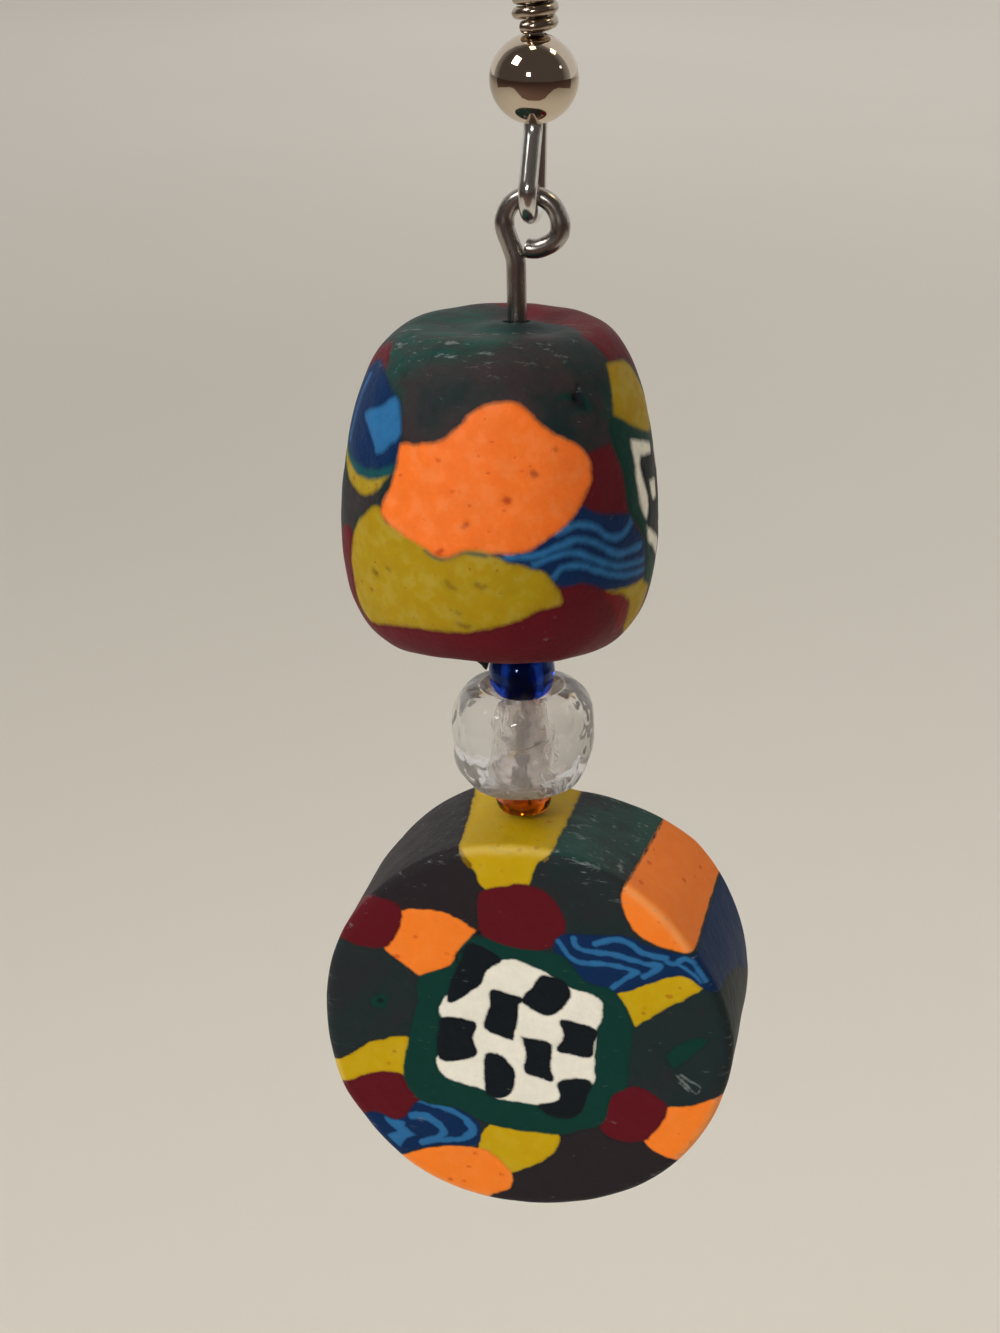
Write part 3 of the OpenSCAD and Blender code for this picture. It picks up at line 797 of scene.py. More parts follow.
# Marks on the disc, as on the barrel, with points as (millimetres to the right, millimetres up)
# from its middle; the cane runs from the front face to the back
DISC_MARKS = (
    ("purple", 0, ((-2.6, 9.2), (-2.3, 7.5), (-1.9, 6.7), (-1.3, 5.9), (-1.4, 5.1), (-1.6, 4.3),
        (-2.7, 4.5), (-4.6, 4.5), (-5.4, 3.9), (-9.2, 4.0), (-8.4, 7.4), (-5.2, 9.4))),
    ("purple", 0, ((1.2, -4.1), (3.0, -3.6), (4.7, -4.0), (5.8, -5.0), (7.4, -6.4), (3.4, -9.4),
        (-1.8, -9.4), (-1.3, -7.3), (-0.6, -6.2), (0.7, -5.4))),
    ("yellow", 0, ((-2.9, 9.4), (-2.4, 7.5), (-1.8, 6.7), (-1.4, 6.0), (-0.4, 5.9), (0.2, 6.2),
        (0.5, 7.1), (1.1, 7.7), (1.4, 9.4))),
    ("yellow", 0, ((-9.2, -2.0), (-7.2, -1.8), (-6.1, -1.0), (-4.6, -0.55), (-4.5, -1.3), (-4.8, -2.5),
        (-6.1, -2.7), (-6.9, -3.0), (-9.2, -3.4))),
    ("yellow", 0, ((-1.4, -4.1), (-0.2, -3.9), (0.7, -4.0), (1.3, -4.3), (1.15, -5.0), (0.6, -5.6),
        (-0.6, -6.25), (-1.2, -6.0), (-1.9, -5.3))),
    ("yellow", 0, ((3.4, 2.0), (4.6, 2.65), (5.9, 3.15), (6.7, 2.65), (5.3, 1.6), (4.2, 0.75),
        (4.2, 0.75), (3.8, 1.5))),
    ("orange", 0, ((-4.7, 4.8), (-3.6, 4.95), (-2.7, 4.8), (-1.75, 4.2), (-1.75, 4.2), (-2.4, 3.4),
        (-2.8, 2.7), (-4.0, 2.1), (-4.0, 2.1), (-4.7, 2.7), (-5.3, 3.2), (-5.0, 3.9))),
    ("orange", 0, ((-5.9, -6.9), (-4.9, -5.95), (-3.4, -5.35), (-1.8, -5.25), (-0.9, -5.9),
        (-0.55, -6.4), (-0.7, -7.0), (-1.5, -7.5), (-2.2, -9.2), (-5.2, -8.8))),
    ("orange", 0, ((5.4, -2.65), (6.3, -2.45), (7.4, -1.95), (9.4, -1.5), (8.6, -5.6), (6.6, -5.7),
        (5.75, -4.95), (5.0, -4.65), (4.55, -4.1), (5.1, -3.5))),
    ("orange", 0, ((4.7, 8.4), (3.8, 6.75), (3.65, 5.9), (4.1, 4.8), (4.9, 4.25), (6.1, 4.0),
        (6.7, 4.1), (8.6, 4.9), (7.4, 7.6))),
    ("red", 0, ((-1.7, 4.7), (-1.6, 5.8), (-0.8, 6.15), (0.2, 6.3), (1.05, 5.9), (1.55, 5.0),
        (1.35, 4.0), (0.4, 3.55), (-0.7, 3.65), (-1.6, 4.1))),
    ("red", 0, ((-9.2, 4.5), (-7.0, 3.5), (-6.1, 3.15), (-5.1, 3.35), (-4.65, 4.3), (-4.65, 5.0),
        (-5.6, 5.35), (-6.4, 5.3), (-8.2, 6.5))),
    ("red", 0, ((-6.9, -2.75), (-6.1, -2.35), (-4.9, -2.25), (-4.15, -3.1), (-4.05, -3.75),
        (-5.0, -4.45), (-6.0, -4.35), (-8.6, -5.2), (-8.9, -3.4))),
    ("red", 0, ((4.15, -1.85), (5.0, -2.2), (5.45, -2.7), (5.1, -3.55), (4.6, -4.15), (3.7, -4.35),
        (2.85, -3.8), (3.3, -2.4))),
    ("navy", 0, ((-8.0, -5.9), (-6.2, -4.1), (-5.0, -4.3), (-4.1, -3.3), (-3.0, -3.4), (-1.9, -4.0),
        (-1.8, -4.8), (-2.0, -5.2), (-3.4, -5.3), (-4.9, -5.9), (-6.6, -7.6))),
    ("navy", 0, ((1.1, 3.8), (1.5, 4.35), (3.0, 4.45), (3.9, 4.5), (4.7, 4.15), (5.7, 3.95),
        (6.7, 3.95), (8.6, 4.8), (9.6, 3.0), (8.2, 2.3), (7.3, 2.4), (6.7, 2.6), (5.9, 3.05),
        (4.7, 2.6), (3.5, 2.1), (2.3, 2.5), (1.6, 3.0))),
    ("sky", 0.1, ((1.3, 4.05), (1.5, 3.75), (1.7, 3.47), (2.1, 3.26), (2.6, 3.26), (3.2, 3.26),
        (3.8, 3.16), (4.25, 3.05))),
    ("sky", 0.1, ((4.25, 3.05), (3.9, 2.8), (3.6, 2.52), (3.35, 2.3))),
    ("sky", 0.11, ((1.88, 4.2), (1.95, 3.92), (2.25, 3.75), (2.7, 3.72), (3.4, 3.7), (4.0, 3.54),
        (4.6, 3.41), (5.1, 3.4), (4.9, 3.16), (4.5, 2.84))),
    ("sky", 0.12, ((2.7, 4.08), (3.2, 4.27), (3.7, 4.3), (4.1, 4.11), (4.45, 3.87), (4.85, 3.77),
        (5.3, 3.72))),
    ("sky", 0.09, ((5.3, 3.6), (5.6, 3.5), (6.0, 3.78), (6.3, 3.64), (6.55, 3.28), (6.8, 2.9))),
    ("sky", 0.06, ((5.7, 3.5), (6.05, 3.35), (6.4, 3.07), (6.6, 2.85))),
    ("sky", 0.12, ((-4.3, -3.3), (-4.1, -3.4), (-3.57, -3.5), (-3.05, -3.62), (-2.58, -3.85),
        (-2.17, -4.18), (-2.03, -4.48), (-2.2, -4.76), (-2.6, -4.93), (-3.2, -5.02), (-3.8, -5.15))),
    ("sky", 0.17, ((-2.3, -4.12), (-2.08, -4.46), (-2.32, -4.72))),
    ("sky", 0.16, ((-4.5, -4.1), (-4.2, -4.04), (-3.9, -4.08), (-3.55, -4.25), (-3.3, -4.5),
        (-3.25, -4.72), (-3.5, -4.98), (-4.1, -5.24))),
    ("sky", 0, ((-5.55, -4.25), (-5.0, -4.35), (-4.75, -4.4), (-4.8, -4.6), (-4.3, -4.95),
        (-4.3, -4.95), (-4.7, -5.1), (-4.9, -5.35), (-5.0, -5.6), (-5.5, -5.1), (-5.1, -4.85),
        (-5.45, -4.55))),
    ("green", 0, ((-1.75, 3.95), (-0.3, 3.6), (1.4, 3.5), (2.3, 2.5), (3.5, 2.1), (4.1, 0.8),
        (4.0, -0.6), (3.9, -1.9), (3.3, -2.4), (3.0, -3.6), (2.2, -4.0), (1.3, -4.35), (-1.3, -4.15),
        (-2.7, -3.55), (-4.1, -3.4), (-4.75, -2.3), (-4.5, -0.6), (-4.1, 1.0), (-4.0, 2.1), (-2.8, 2.6),
        (-2.4, 3.4))),
    ("green", 0.22, ((-5.75, 0.85), (-5.5, 1.0), (-5.55, 0.8))),
    ("green", 0, ((5.4, -0.4), (5.8, 0.1), (6.4, 0.5), (6.9, 0.4), (6.3, -0.3), (5.7, -0.9))),
    ("white", 0, ((-1.4, 2.8), (-0.5, 3.15), (0.1, 2.95), (0.9, 2.65), (1.7, 2.15), (2.8, 1.85),
        (3.0, 1.2), (2.75, 0.4), (2.65, -0.9), (2.65, -1.8), (2.3, -2.05), (1.4, -1.95), (1.3, -2.75),
        (0.5, -3.05), (-1.0, -2.95), (-1.5, -2.65), (-3.0, -2.3), (-3.35, -1.9), (-3.4, -1.3),
        (-2.1, -1.0), (-2.15, -0.4), (-2.0, 0.2), (-3.2, 0.4), (-3.05, 1.3), (-1.7, 1.95),
        (-1.6, 2.5))),
    ("black", 0, ((-2.05, 3.65), (-1.3, 3.4), (-0.85, 3.05), (-1.4, 2.6), (-1.7, 1.9), (-2.85, 1.05),
        (-2.85, 1.8), (-2.4, 2.9))),
    ("black", 0, ((0.7, 2.55), (1.5, 2.4), (1.75, 1.8), (1.3, 1.05), (0.75, 0.85), (0.2, 1.1),
        (-0.15, 1.4), (0.3, 2.0))),
    ("black", 0, ((-1.25, 1.75), (-0.5, 1.6), (0.3, 1.45), (-0.2, 1.2), (-0.3, 0.4), (-0.45, -0.35),
        (-0.45, -0.35), (-1.55, 0.1), (-1.35, 1.0))),
    ("black", 0, ((-3.25, 0.35), (-2.6, 0.45), (-1.9, 0.3), (-2.0, -0.4), (-1.9, -1.15),
        (-3.35, -1.45))),
    ("black", 0, ((1.4, 0.75), (2.75, 0.5), (2.65, -0.1), (2.55, -0.75), (1.9, -0.75), (1.2, -0.6),
        (1.5, 0.1))),
    ("black", 0, ((-1.55, -1.05), (-0.9, -1.05), (-0.45, -1.6), (-0.4, -2.1), (-0.6, -2.7),
        (-1.0, -2.9), (-1.55, -2.75))),
    ("black", 0, ((-0.15, -0.15), (-0.15, -0.15), (0.4, -0.2), (1.05, -0.35), (0.97, -1.1),
        (1.05, -1.95), (0.5, -1.85), (-0.05, -1.65), (0.05, -0.9))),
    ("black", 0, ((1.25, -2.0), (1.9, -1.75), (2.55, -1.85), (2.35, -2.6), (2.0, -3.35), (1.3, -3.6),
        (0.45, -3.1), (1.3, -2.75))),
    ("scuff", 0, ((-9.0, 3.0), (-6.0, 5.6), (-4.0, 7.0), (-2.0, 8.0), (-4.0, 9.5), (-9.0, 8.0))),
    ("scuff", 0, ((1.0, 7.9), (3.4, 7.2), (3.6, 6.0), (2.6, 6.4), (1.2, 7.2))),
    # Black dots and a short black line: painted shade in small pits and a crack
    ("black", 0.09, ((-5.6, 0.9), (-5.55, 0.95))),
    ("black", 0.035, ((-2.3, 3.35), (-2.55, 3.15), (-2.5, 2.8))),
    ("black", 0.09, ((-1.75, 4.1), (-1.68, 4.15))),
    # A thin black line where the green rim and the orange patch meet at a step: a painted shadow
    ("black", 0.04, ((3.72, 6.5), (4.05, 7.2), (4.5, 8.1))),
    ("umber", 0.08, ((-2.3, 7.4), (-2.15, 7.15), (-1.95, 6.9))),
    ("umber", 0.05, ((0.8, 7.3), (0.95, 7.42))),
    ("chalk", 0.03, ((5.75, -1.2), (6.05, -1.5), (6.5, -1.9), (6.65, -1.75))),
    ("chalk", 0.025, ((5.9, -1.15), (6.3, -1.4), (6.7, -1.6))),
    ("chalk", 0.02, ((5.85, -1.5), (6.15, -1.75), (6.45, -1.9))),
)

# How far the disc's rim lies from a true circle, at its front edge and at its back edge:
# degrees from the right, and millimetres outwards
FRONT_RIM = ((-76, -0.16), (-50, -0.08), (-15, -0.09), (2, -0.02), (17, -0.2), (34, -0.38), (60, -0.26),
    (75, -0.05), (95, -0.06), (107, 0.04), (130, -0.02), (152, 0.05), (176, -0.06), (191, -0.02),
    (206, 0.08), (215, 0.0), (235, 0.1), (250, 0.05), (266, -0.1), (284, -0.16))
BACK_RIM = ((-76, -0.1), (-8, -0.02), (6, -0.02), (28, 0.1), (45, 0.22), (57, 0.03), (66, -0.13),
    (81, -0.3), (95, -0.15), (112, 0.1), (131, -0.03), (141, -0.09), (152, 0.0), (180, -0.02),
    (200, 0.03), (266, -0.1), (284, -0.1))
# How far the cane's seams turn from the front edge to the back edge: degrees from the right, and degrees
SEAM_TURN = ((-76, 0), (-30, -6), (-4, -17), (8, -14), (28, 6), (42, -1), (60, -6), (82, -2), (108, 3),
    (113, 5), (124, 14), (140, 29), (152, 38), (168, 42), (184, 34), (200, 16), (220, 0), (284, 0))


def along_table(table, degrees):
    """A value read from a table of (degrees, value), which repeats every turn."""
    at, value = np.array(table, float).T
    return np.interp((degrees - at[0]) % 360 + at[0], at, value)


# How far above the ball's underside the bend over the hook's loop ends
NECK_IN_BALL = 0.1
# How the ear wire's rear end is rounded off: millimetres beyond the leg, and share of the wire's radius
REAR_TIP = ((0.0, 1.0), (0.06, 0.93), (0.12, 0.68))


def ear_hook():
    """The ear wire: arcs and straights in the plane of the ear, from the loop's end to the rear leg's."""
    s = lengths(bpy.context.scene.wire_sizes)
    ball_low, ball_high = (np.array(corner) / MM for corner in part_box("hook_ball"))
    ball_r = (ball_high[0] - ball_low[0]) / 2
    front_y, ball_z = -s.arc_r, (ball_low[2] + ball_high[2]) / 2
    arc_z = s.wire_d / 2 - s.arc_r
    loop_z = PIVOT[2] + s.loop_r
    neck_z = ball_z - ball_r + NECK_IN_BALL
    span = np.hypot(s.neck_r, neck_z - loop_z)
    neck = np.degrees(np.arcsin((s.loop_r + s.neck_r) / span) - np.arctan2(s.neck_r, neck_z - loop_z))
    tail_in = s.loop_r - s.wire_d / 2
    tail_z = ball_z - np.sqrt(ball_r ** 2 - tail_in ** 2) - s.gap
    line = np.vstack([
        [[front_y + s.loop_r, tail_z]],
        arc((front_y, loop_z), s.loop_r, 0, -180 - neck),
        arc((front_y - s.neck_r, neck_z), s.neck_r, -neck, neck),
        arc((0, arc_z), s.arc_r, 180, -180),
        [[s.arc_r, arc_z - s.rear_len - beyond] for beyond, _ in REAR_TIP],
    ])
    path = np.column_stack([np.zeros(len(line)), line])
    thick = np.full(len(path), s.wire_d / 2)
    thick[-len(REAR_TIP):] *= [part for _, part in REAR_TIP]
    return skin("ear_wire", tube(path, thick, np.array([1.0, 0, 0])), fields={"grain": tube_grain(path)})


# Where the coil starts, in turns from the right, seen from above
COIL_START = -1 / 3


def hook_coil():
    """The coil: a fine wire on a helix round the front leg, resting on the ball."""
    s = lengths(bpy.context.scene.wire_sizes)
    low = np.array(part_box("hook_coil")[0]) / MM
    radius = (s.wire_d + s.coil_wire_d) / 2 + s.gap
    turns = np.linspace(0, s.coil_turns, int(COIL_STEPS * s.coil_turns))
    q = TURN * (turns + COIL_START)
    out = np.column_stack([np.cos(q), np.sin(q), np.zeros(len(turns))])
    start = low[2] + s.coil_wire_d / 2
    path = np.array([0, -s.arc_r, start]) + radius * out + np.outer(turns * s.coil_pitch, [0, 0, 1])
    rings = tube(path, s.coil_wire_d / 2, out, COIL_SIDES)
    return skin("coil", rings, fields={"grain": tube_grain(path, COIL_SIDES)})


def hook_ball():
    """The ball: half a circle as its profile, cut off at the hole, and the hole's wall."""
    s = lengths(bpy.context.scene.wire_sizes)
    low, high = (np.array(corner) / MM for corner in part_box("hook_ball"))
    radius, bore = (high[0] - low[0]) / 2, s.ball_bore_d / 2
    edge = np.degrees(np.arccos(bore / radius))
    outside = arc((0, 0), radius, -edge, 2 * edge, 3.0)
    wall = np.linspace([bore, outside[-1, 1]], [bore, outside[0, 1]], 7)[1:-1]
    middle = np.array([0, -s.arc_r, (low[2] + high[2]) / 2])
    return skin("ball", spun(np.vstack([outside, wall])) + middle, closed=True, sharp=40)


# How far the pin's open loop lies inside its circle, after its cut end: degrees and millimetres
CURL_IN = ((-60, 0.06), (-20, -0.06), (20, 0))
# Share of its radius that the pin's wire keeps at the loop's cut end
CUT_END = 0.94
# Where the pin's wire grows fuller: from this height in the drop's frame downwards, over this depth
FULLER_FROM = 0.1
FULLER_OVER = 0.4
# How far above the head the stem's last ring lies
HEAD_ROOT = 0.02
# The pin's head from its top down: shares of its height and of its radius
HEAD_STEPS = ((0.0, 0.96), (0.075, 1.0), (0.7, 1.0), (1.0, 0.86))


def head_pin():
    """The head pin: its open loop, the bend under it, the straight stem and the flat head.

    Below the loop its wire is a little fuller."""
    s = lengths(bpy.context.scene.wire_sizes)
    beads = lengths(bpy.context.scene.bead_sizes)
    hang_r = s.pin_loop_r - s.pin_d / 2 - s.wire_d / 2 - s.gap
    loop = -hang_r * DROP_AXES[0, [2, 0]]
    bend = np.array([PIN_X - s.pin_bend_r, loop[1] - s.pin_bend_drop])
    reach = loop - bend
    lean = np.degrees(np.arcsin((s.pin_loop_r + s.pin_bend_r) / np.hypot(*reach)) - np.arctan2(*reach))
    cut = np.degrees(s.pin_cut)
    head_z = DISC_AT[2] - beads.disc_d / 2 - s.gap
    curl = np.radians(np.linspace(cut - 360, 180 + lean, LOOP_STEPS))
    curl_r = s.pin_loop_r - np.interp(np.degrees(curl), *np.array([(cut - 360, s.pin_end_in), *CURL_IN]).T)
    line = np.vstack([
        loop + np.column_stack([curl_r * np.cos(curl), curl_r * np.sin(curl)]),
        arc(bend, s.pin_bend_r, lean, -lean),
        [[PIN_X, head_z + HEAD_ROOT]],
        [[PIN_X, head_z - s.head_h * part] for part, _ in HEAD_STEPS],
    ])
    fuller = np.clip((FULLER_FROM - line[:, 1]) / FULLER_OVER, 0, 1)
    thick = s.pin_d / 2 + s.pin_fuller * fuller ** 2 * (3 - 2 * fuller)
    thick[-len(HEAD_STEPS):] = [s.head_d / 2 * wide for _, wide in HEAD_STEPS]
    thick[0] *= CUT_END
    path = hung(np.column_stack([line[:, 0], np.zeros(len(line)), line[:, 1]]))
    return skin("pin", tube(path, thick, BACK), fields={"grain": tube_grain(path)})


# Where the barrel is worn or swollen: degrees, rise along the surface, reach round it, reach along it,
# and depth inwards
BARREL_WEAR = (
    (10, 8.9, 2.0, 0.75, -0.36),
    (250, 7.0, 3.0, 1.2, 0.14),
    (0, 0.0, 3.2, 4.0, 0.06),
    (110, 6.0, 2.5, 1.2, -0.1),
    (8, -6.5, 3.8, 1.2, 0.4),
    (-90, -1.0, 3.0, 4.0, -0.08),
    (12, -9.2, 1.2, 0.8, 0.26),
    (44, 4.3, 0.16, 0.16, 0.2),
)


# How square the barrel is below and above half its height, as bulge takes it
BARREL_SQUARES = (2.34, 2.6)
# The lip round the barrel's lower hole: millimetres outside the hole where it starts and ends, and how
# far the flat end sinks before it
LIP_ROOT = 1.15
LIP_FOOT = 0.6
LIP_SINK = 0.05
# How the lip's edge is broken, across and up, and how far under the dimple the hole's top ring lies
LIP_EDGE = (0.08, 0.07)
HOLE_TOP = 0.1
# The nib of clay under the barrel: degrees to the right of the front, and its reach to either side;
# millimetres outside the hole, and its reach; and how far it hangs down
NIB_AT = -59
NIB_WIDE = 18
NIB_OUT = 1.15
NIB_DEEP = 0.26
NIB_H = 0.92
# How far the barrel's lumps may stand outside its turned form, and from which radius they grow, over how
# many millimetres
LUMPS_OUT = 0.06
LUMPS_FROM = 0.9
LUMPS_OVER = 1.2
# How far inside the dark blue patches of the barrel and of the disc the light blue lines end
BARREL_SKY_IN = 0.03
DISC_SKY_IN = 0.02


def barrel_rows(s):
    """The barrel's profile from the top hole's rim down to the bottom hole's rim, then up the bore.

    Each row is (radius, height, shift, run): shift is 0 where the ring is centred on the barrel's
    own axis and 1 where it is centred on the pin, and run is the length along the surface from half
    height, upwards."""
    side = bulge(s.barrel_d, s.barrel_h, s.barrel_end_r, *BARREL_SQUARES, s.barrel_taper)
    side = even(side, BARREL_STEPS)[::-1]
    top, low, hole = side[0], side[-1], s.clay_bore_d / 2
    ease = np.linspace(0, 1, DIMPLE_STEPS + 1)[:-1]
    dish = np.column_stack([hole + (top[0] - hole) * ease,
                            top[1] - s.dimple_h * np.cos(ease * np.pi / 2) ** 1.5, 1 - ease])
    root, foot = hole + LIP_ROOT, hole + LIP_FOOT
    flat = np.linspace(0, 1, LIP_STEPS + 1)[1:]
    base = np.column_stack([low[0] + (root - low[0]) * flat, low[1] - LIP_SINK * flat, flat])
    lip_drop = LIP_SINK + (s.lip_h - LIP_SINK) * np.sin(flat * np.pi / 2)
    lip = np.column_stack([root + (foot - root) * flat ** 1.4, low[1] - lip_drop, np.ones(LIP_STEPS)])
    rim_z = low[1] - s.lip_h
    rim = np.array([[hole + LIP_EDGE[0], rim_z, 1], [hole, rim_z + LIP_EDGE[1], 1]])
    bore = np.linspace([hole, low[1], 1], [hole, top[1] - s.dimple_h - HOLE_TOP, 1], HOLE_STEPS)
    rows = np.vstack([dish, np.column_stack([side, np.zeros(len(side))]), base, lip, rim, bore])
    run = np.r_[0, np.cumsum(np.hypot(*np.diff(rows[:, :2], axis=0).T))]
    outer = slice(len(dish), len(dish) + len(side))
    middle = np.interp(0, -rows[outer, 1], run[outer])
    run = middle - run
    run[-HOLE_STEPS:] = np.linspace(run[-HOLE_STEPS - 1], run[0], HOLE_STEPS + 2)[1:-1]
    return np.column_stack([rows, run])


def barrel_bead():
    """The barrel: rings of the profile's radius about an axis that leans and shifts to the pin's.

    The surface lies off its turned form by slow lumps, and a small nib hangs from the lip at the
    front left. Its lobe is e to the minus fourth power of the angle and of the radius, each counted
    from the nib's middle in units of its reach. The light blue lines end where the dark blue patch
    does, and the brighter red ends where the red does."""
    s = lengths(bpy.context.scene.bead_sizes)
    rows = barrel_rows(s)
    degrees = np.linspace(-180, 180, BARREL_SIDES, endpoint=False)
    a = np.radians(degrees)
    radius, height, shift, run = (rows[:, k, None] for k in range(4))
    aside, out = (degrees - NIB_AT) / NIB_WIDE, (radius - s.clay_bore_d / 2 - NIB_OUT) / NIB_DEEP
    nib = np.exp(-aside ** 4)[None] * np.exp(-out ** 4)
    height = height - NIB_H * nib * (height < -s.barrel_h / 2 + 0.04)
    x, y = radius * np.sin(a), -radius * np.cos(a)
    lean = s.barrel_lean * (1 - shift)
    across = x * np.cos(lean) + height * np.sin(lean) - s.barrel_off * (1 - shift)
    up = -x * np.sin(lean) + height * np.cos(lean)
    local = np.stack([across, y, up], axis=2)
    normal = outward(local)
    flat = local.reshape(-1, 3)
    slow = lumps(flat, depth=0.1, size_mm=5.0, seed=3)
    fine = lumps(flat, depth=0.03, size_mm=1.6, seed=4)
    depth = (slow + fine).reshape(across.shape) - LUMPS_OUT
    depth *= np.clip((radius - LUMPS_FROM) / LUMPS_OVER, 0, 1)
    for bearing, rise, wide, tall, sink in BARREL_WEAR:
        aside = np.radians((degrees - bearing + 180) % 360 - 180)[None] * radius / wide
        depth += sink * np.exp(-aside ** 2 - ((run - rise) / tall) ** 2)
    depth *= radius > s.clay_bore_d / 2 + 0.01
    local = local - normal * depth[..., None]
    stretch = np.radians(1) * np.maximum(np.broadcast_to(radius, across.shape), 0.5)
    u, v, k = (np.broadcast_to(values, across.shape).ravel() for values in (degrees[None], run, stretch))
    fields = chart(u, v, k, BARREL_MARKS, BARREL_LAYERS)
    fields["sky"] = np.maximum(fields["sky"], fields["navy"] + BARREL_SKY_IN)
    fields["scarlet"] = np.maximum(fields["scarlet"], fields["red"])
    named = {"cane_" + layer: field for layer, field in fields.items()}
    return skin("barrel", hung(local + BARREL_AT), closed=True, sharp=50, fields=named)


# Radius of the innermost ring of points on the disc's faces
DISC_MIDDLE_R = 0.05
# Between which degrees from the right the disc's rim is green, and how far outside its flat face that starts
GREEN_RIM = (50, 92)
GREEN_FROM = 0.25
# How far from the disc's front edge the clay is rubbed and carries a painted highlight
WEAR_AND_HIGHLIGHT_REACH = 0.17


def disc_rows(s):
    """The disc's half profile from the front face's middle to the back's, as (radius, depth back)."""
    half, r = s.disc_t / 2, s.disc_d / 2
    edge = s.disc_edge_r
    front = np.linspace([DISC_MIDDLE_R, -half], [r - edge, -half], FRONT_STEPS)[:-1]
    first = arc((r - edge, -half + edge), edge, -90, 90, 15)
    rim = np.linspace([r, -half + edge], [r, half - edge], RIM_STEPS)[1:-1]
    last = arc((r - edge, half - edge), edge, 0, 90, 15)
    back = np.linspace([r - edge, half], [DISC_MIDDLE_R, half], BACK_STEPS)[1:]
    return np.vstack([front, first, rim, last, back])


def disc_bead():
    """The disc: its profile carried round its own middle, with the rim pushed out of round.

    The hole is cut along the pin, and then each point gets its distances to the cane's patches,
    which run straight from front to back but for a slow turn. The light blue lines end where the
    dark blue patch does."""
    s = lengths(bpy.context.scene.bead_sizes)
    rows = disc_rows(s)
    degrees = np.linspace(0, 360, DISC_SIDES, endpoint=False)
    a = np.radians(degrees)
    radius, back = rows[:, 0, None], rows[:, 1, None]
    depth = back / s.disc_t + 0.5
    push = along_table(FRONT_RIM, degrees) * (1 - depth) + along_table(BACK_RIM, degrees) * depth
    radius = radius + push * np.clip(radius / (s.disc_d / 2), 0, 1) ** 6
    local = np.stack([radius * np.cos(a), np.broadcast_to(back, radius.shape), radius * np.sin(a)], axis=2)
    flat = local.reshape(-1, 3)
    sink = lumps(flat, depth=0.07, size_mm=5.0, seed=11) + lumps(flat, depth=0.03, size_mm=1.8, seed=12)
    face = np.clip((np.abs(flat[:, 1]) - s.disc_t / 2 + s.disc_edge_r) / s.disc_edge_r, 0, 1)
    flat = flat.copy()
    flat[:, 1] -= np.sign(flat[:, 1]) * sink * face
    length = np.maximum(np.hypot(flat[:, 0], flat[:, 2]), 0.1)
    squeeze = 1 - 0.5 * sink * (1 - face) / length
    flat[:, 0] *= squeeze
    flat[:, 2] *= squeeze
    middle = DISC_AT + [s.disc_off, 0, 0]
    piece = skin("disc", hung(flat + middle).reshape(local.shape))
    drill(piece, s)
    points = np.empty(len(piece.data.vertices) * 3, np.float32)
    piece.data.vertices.foreach_get("co", points)
    inside = unhung(points.reshape(-1, 3) / MM) - middle
    depth = inside[:, 1] / s.disc_t + 0.5
    rounds = np.degrees(np.arctan2(inside[:, 2], inside[:, 0])) % 360
    turn = np.radians(along_table(SEAM_TURN, rounds)) * depth
    u = inside[:, 0] * np.cos(turn) + inside[:, 2] * np.sin(turn)
    v = inside[:, 2] * np.cos(turn) - inside[:, 0] * np.sin(turn)
    fields = chart(u, v, None, DISC_MARKS, DISC_LAYERS)
    fields["sky"] = np.maximum(fields["sky"], fields["navy"] + DISC_SKY_IN)
    bearing = np.degrees(np.arctan2(v, u))
    rim = np.hypot(inside[:, 0], inside[:, 2]) - s.disc_d / 2 + s.disc_edge_r
    fields["moss"] = np.where((bearing > GREEN_RIM[0]) & (bearing < GREEN_RIM[1]), GREEN_FROM - rim, REACH)
    for layer, field in fields.items():
        store(piece.data, "cane_" + layer, field[:, None])
    # A band along the front edge where the clay is rubbed and its light clays are lightened as a painted
    # highlight
    past = rim - along_table(FRONT_RIM, rounds) - s.disc_edge_r * 0.7
    behind = inside[:, 1] + s.disc_t / 2 - s.disc_edge_r * 0.3
    store(piece.data, "worn", np.exp(-(past ** 2 + behind ** 2) / WEAR_AND_HIGHLIGHT_REACH ** 2)[:, None])
    smooth(piece.data, 50)
    return piece


def drill(piece, s):
    """Cuts the pin's hole right through a bead with a straight cutter, and removes the cutter."""
    half = s.disc_d / 2 + 1
    ends = np.array([[DISC_AT[0], 0, DISC_AT[2] - half], [DISC_AT[0], 0, DISC_AT[2] + half]])
    cutter = skin("cutter", tube(hung(ends), s.clay_bore_d / 2, BACK, DRILL_SIDES))
    cut = piece.modifiers.new("hole", "BOOLEAN")
    cut.operation, cut.solver, cut.object = "DIFFERENCE", "MANIFOLD", cutter
    bpy.context.view_layer.update()
    drilled = bpy.data.meshes.new_from_object(piece.evaluated_get(bpy.context.evaluated_depsgraph_get()))
    drilled.materials.clear()
    piece.modifiers.clear()
    piece.data = drilled
    bpy.data.objects.remove(cutter)


# Height of the bevel between a small bead's flat rim and its hole, where it has no mouth
BEVEL_H = 0.03


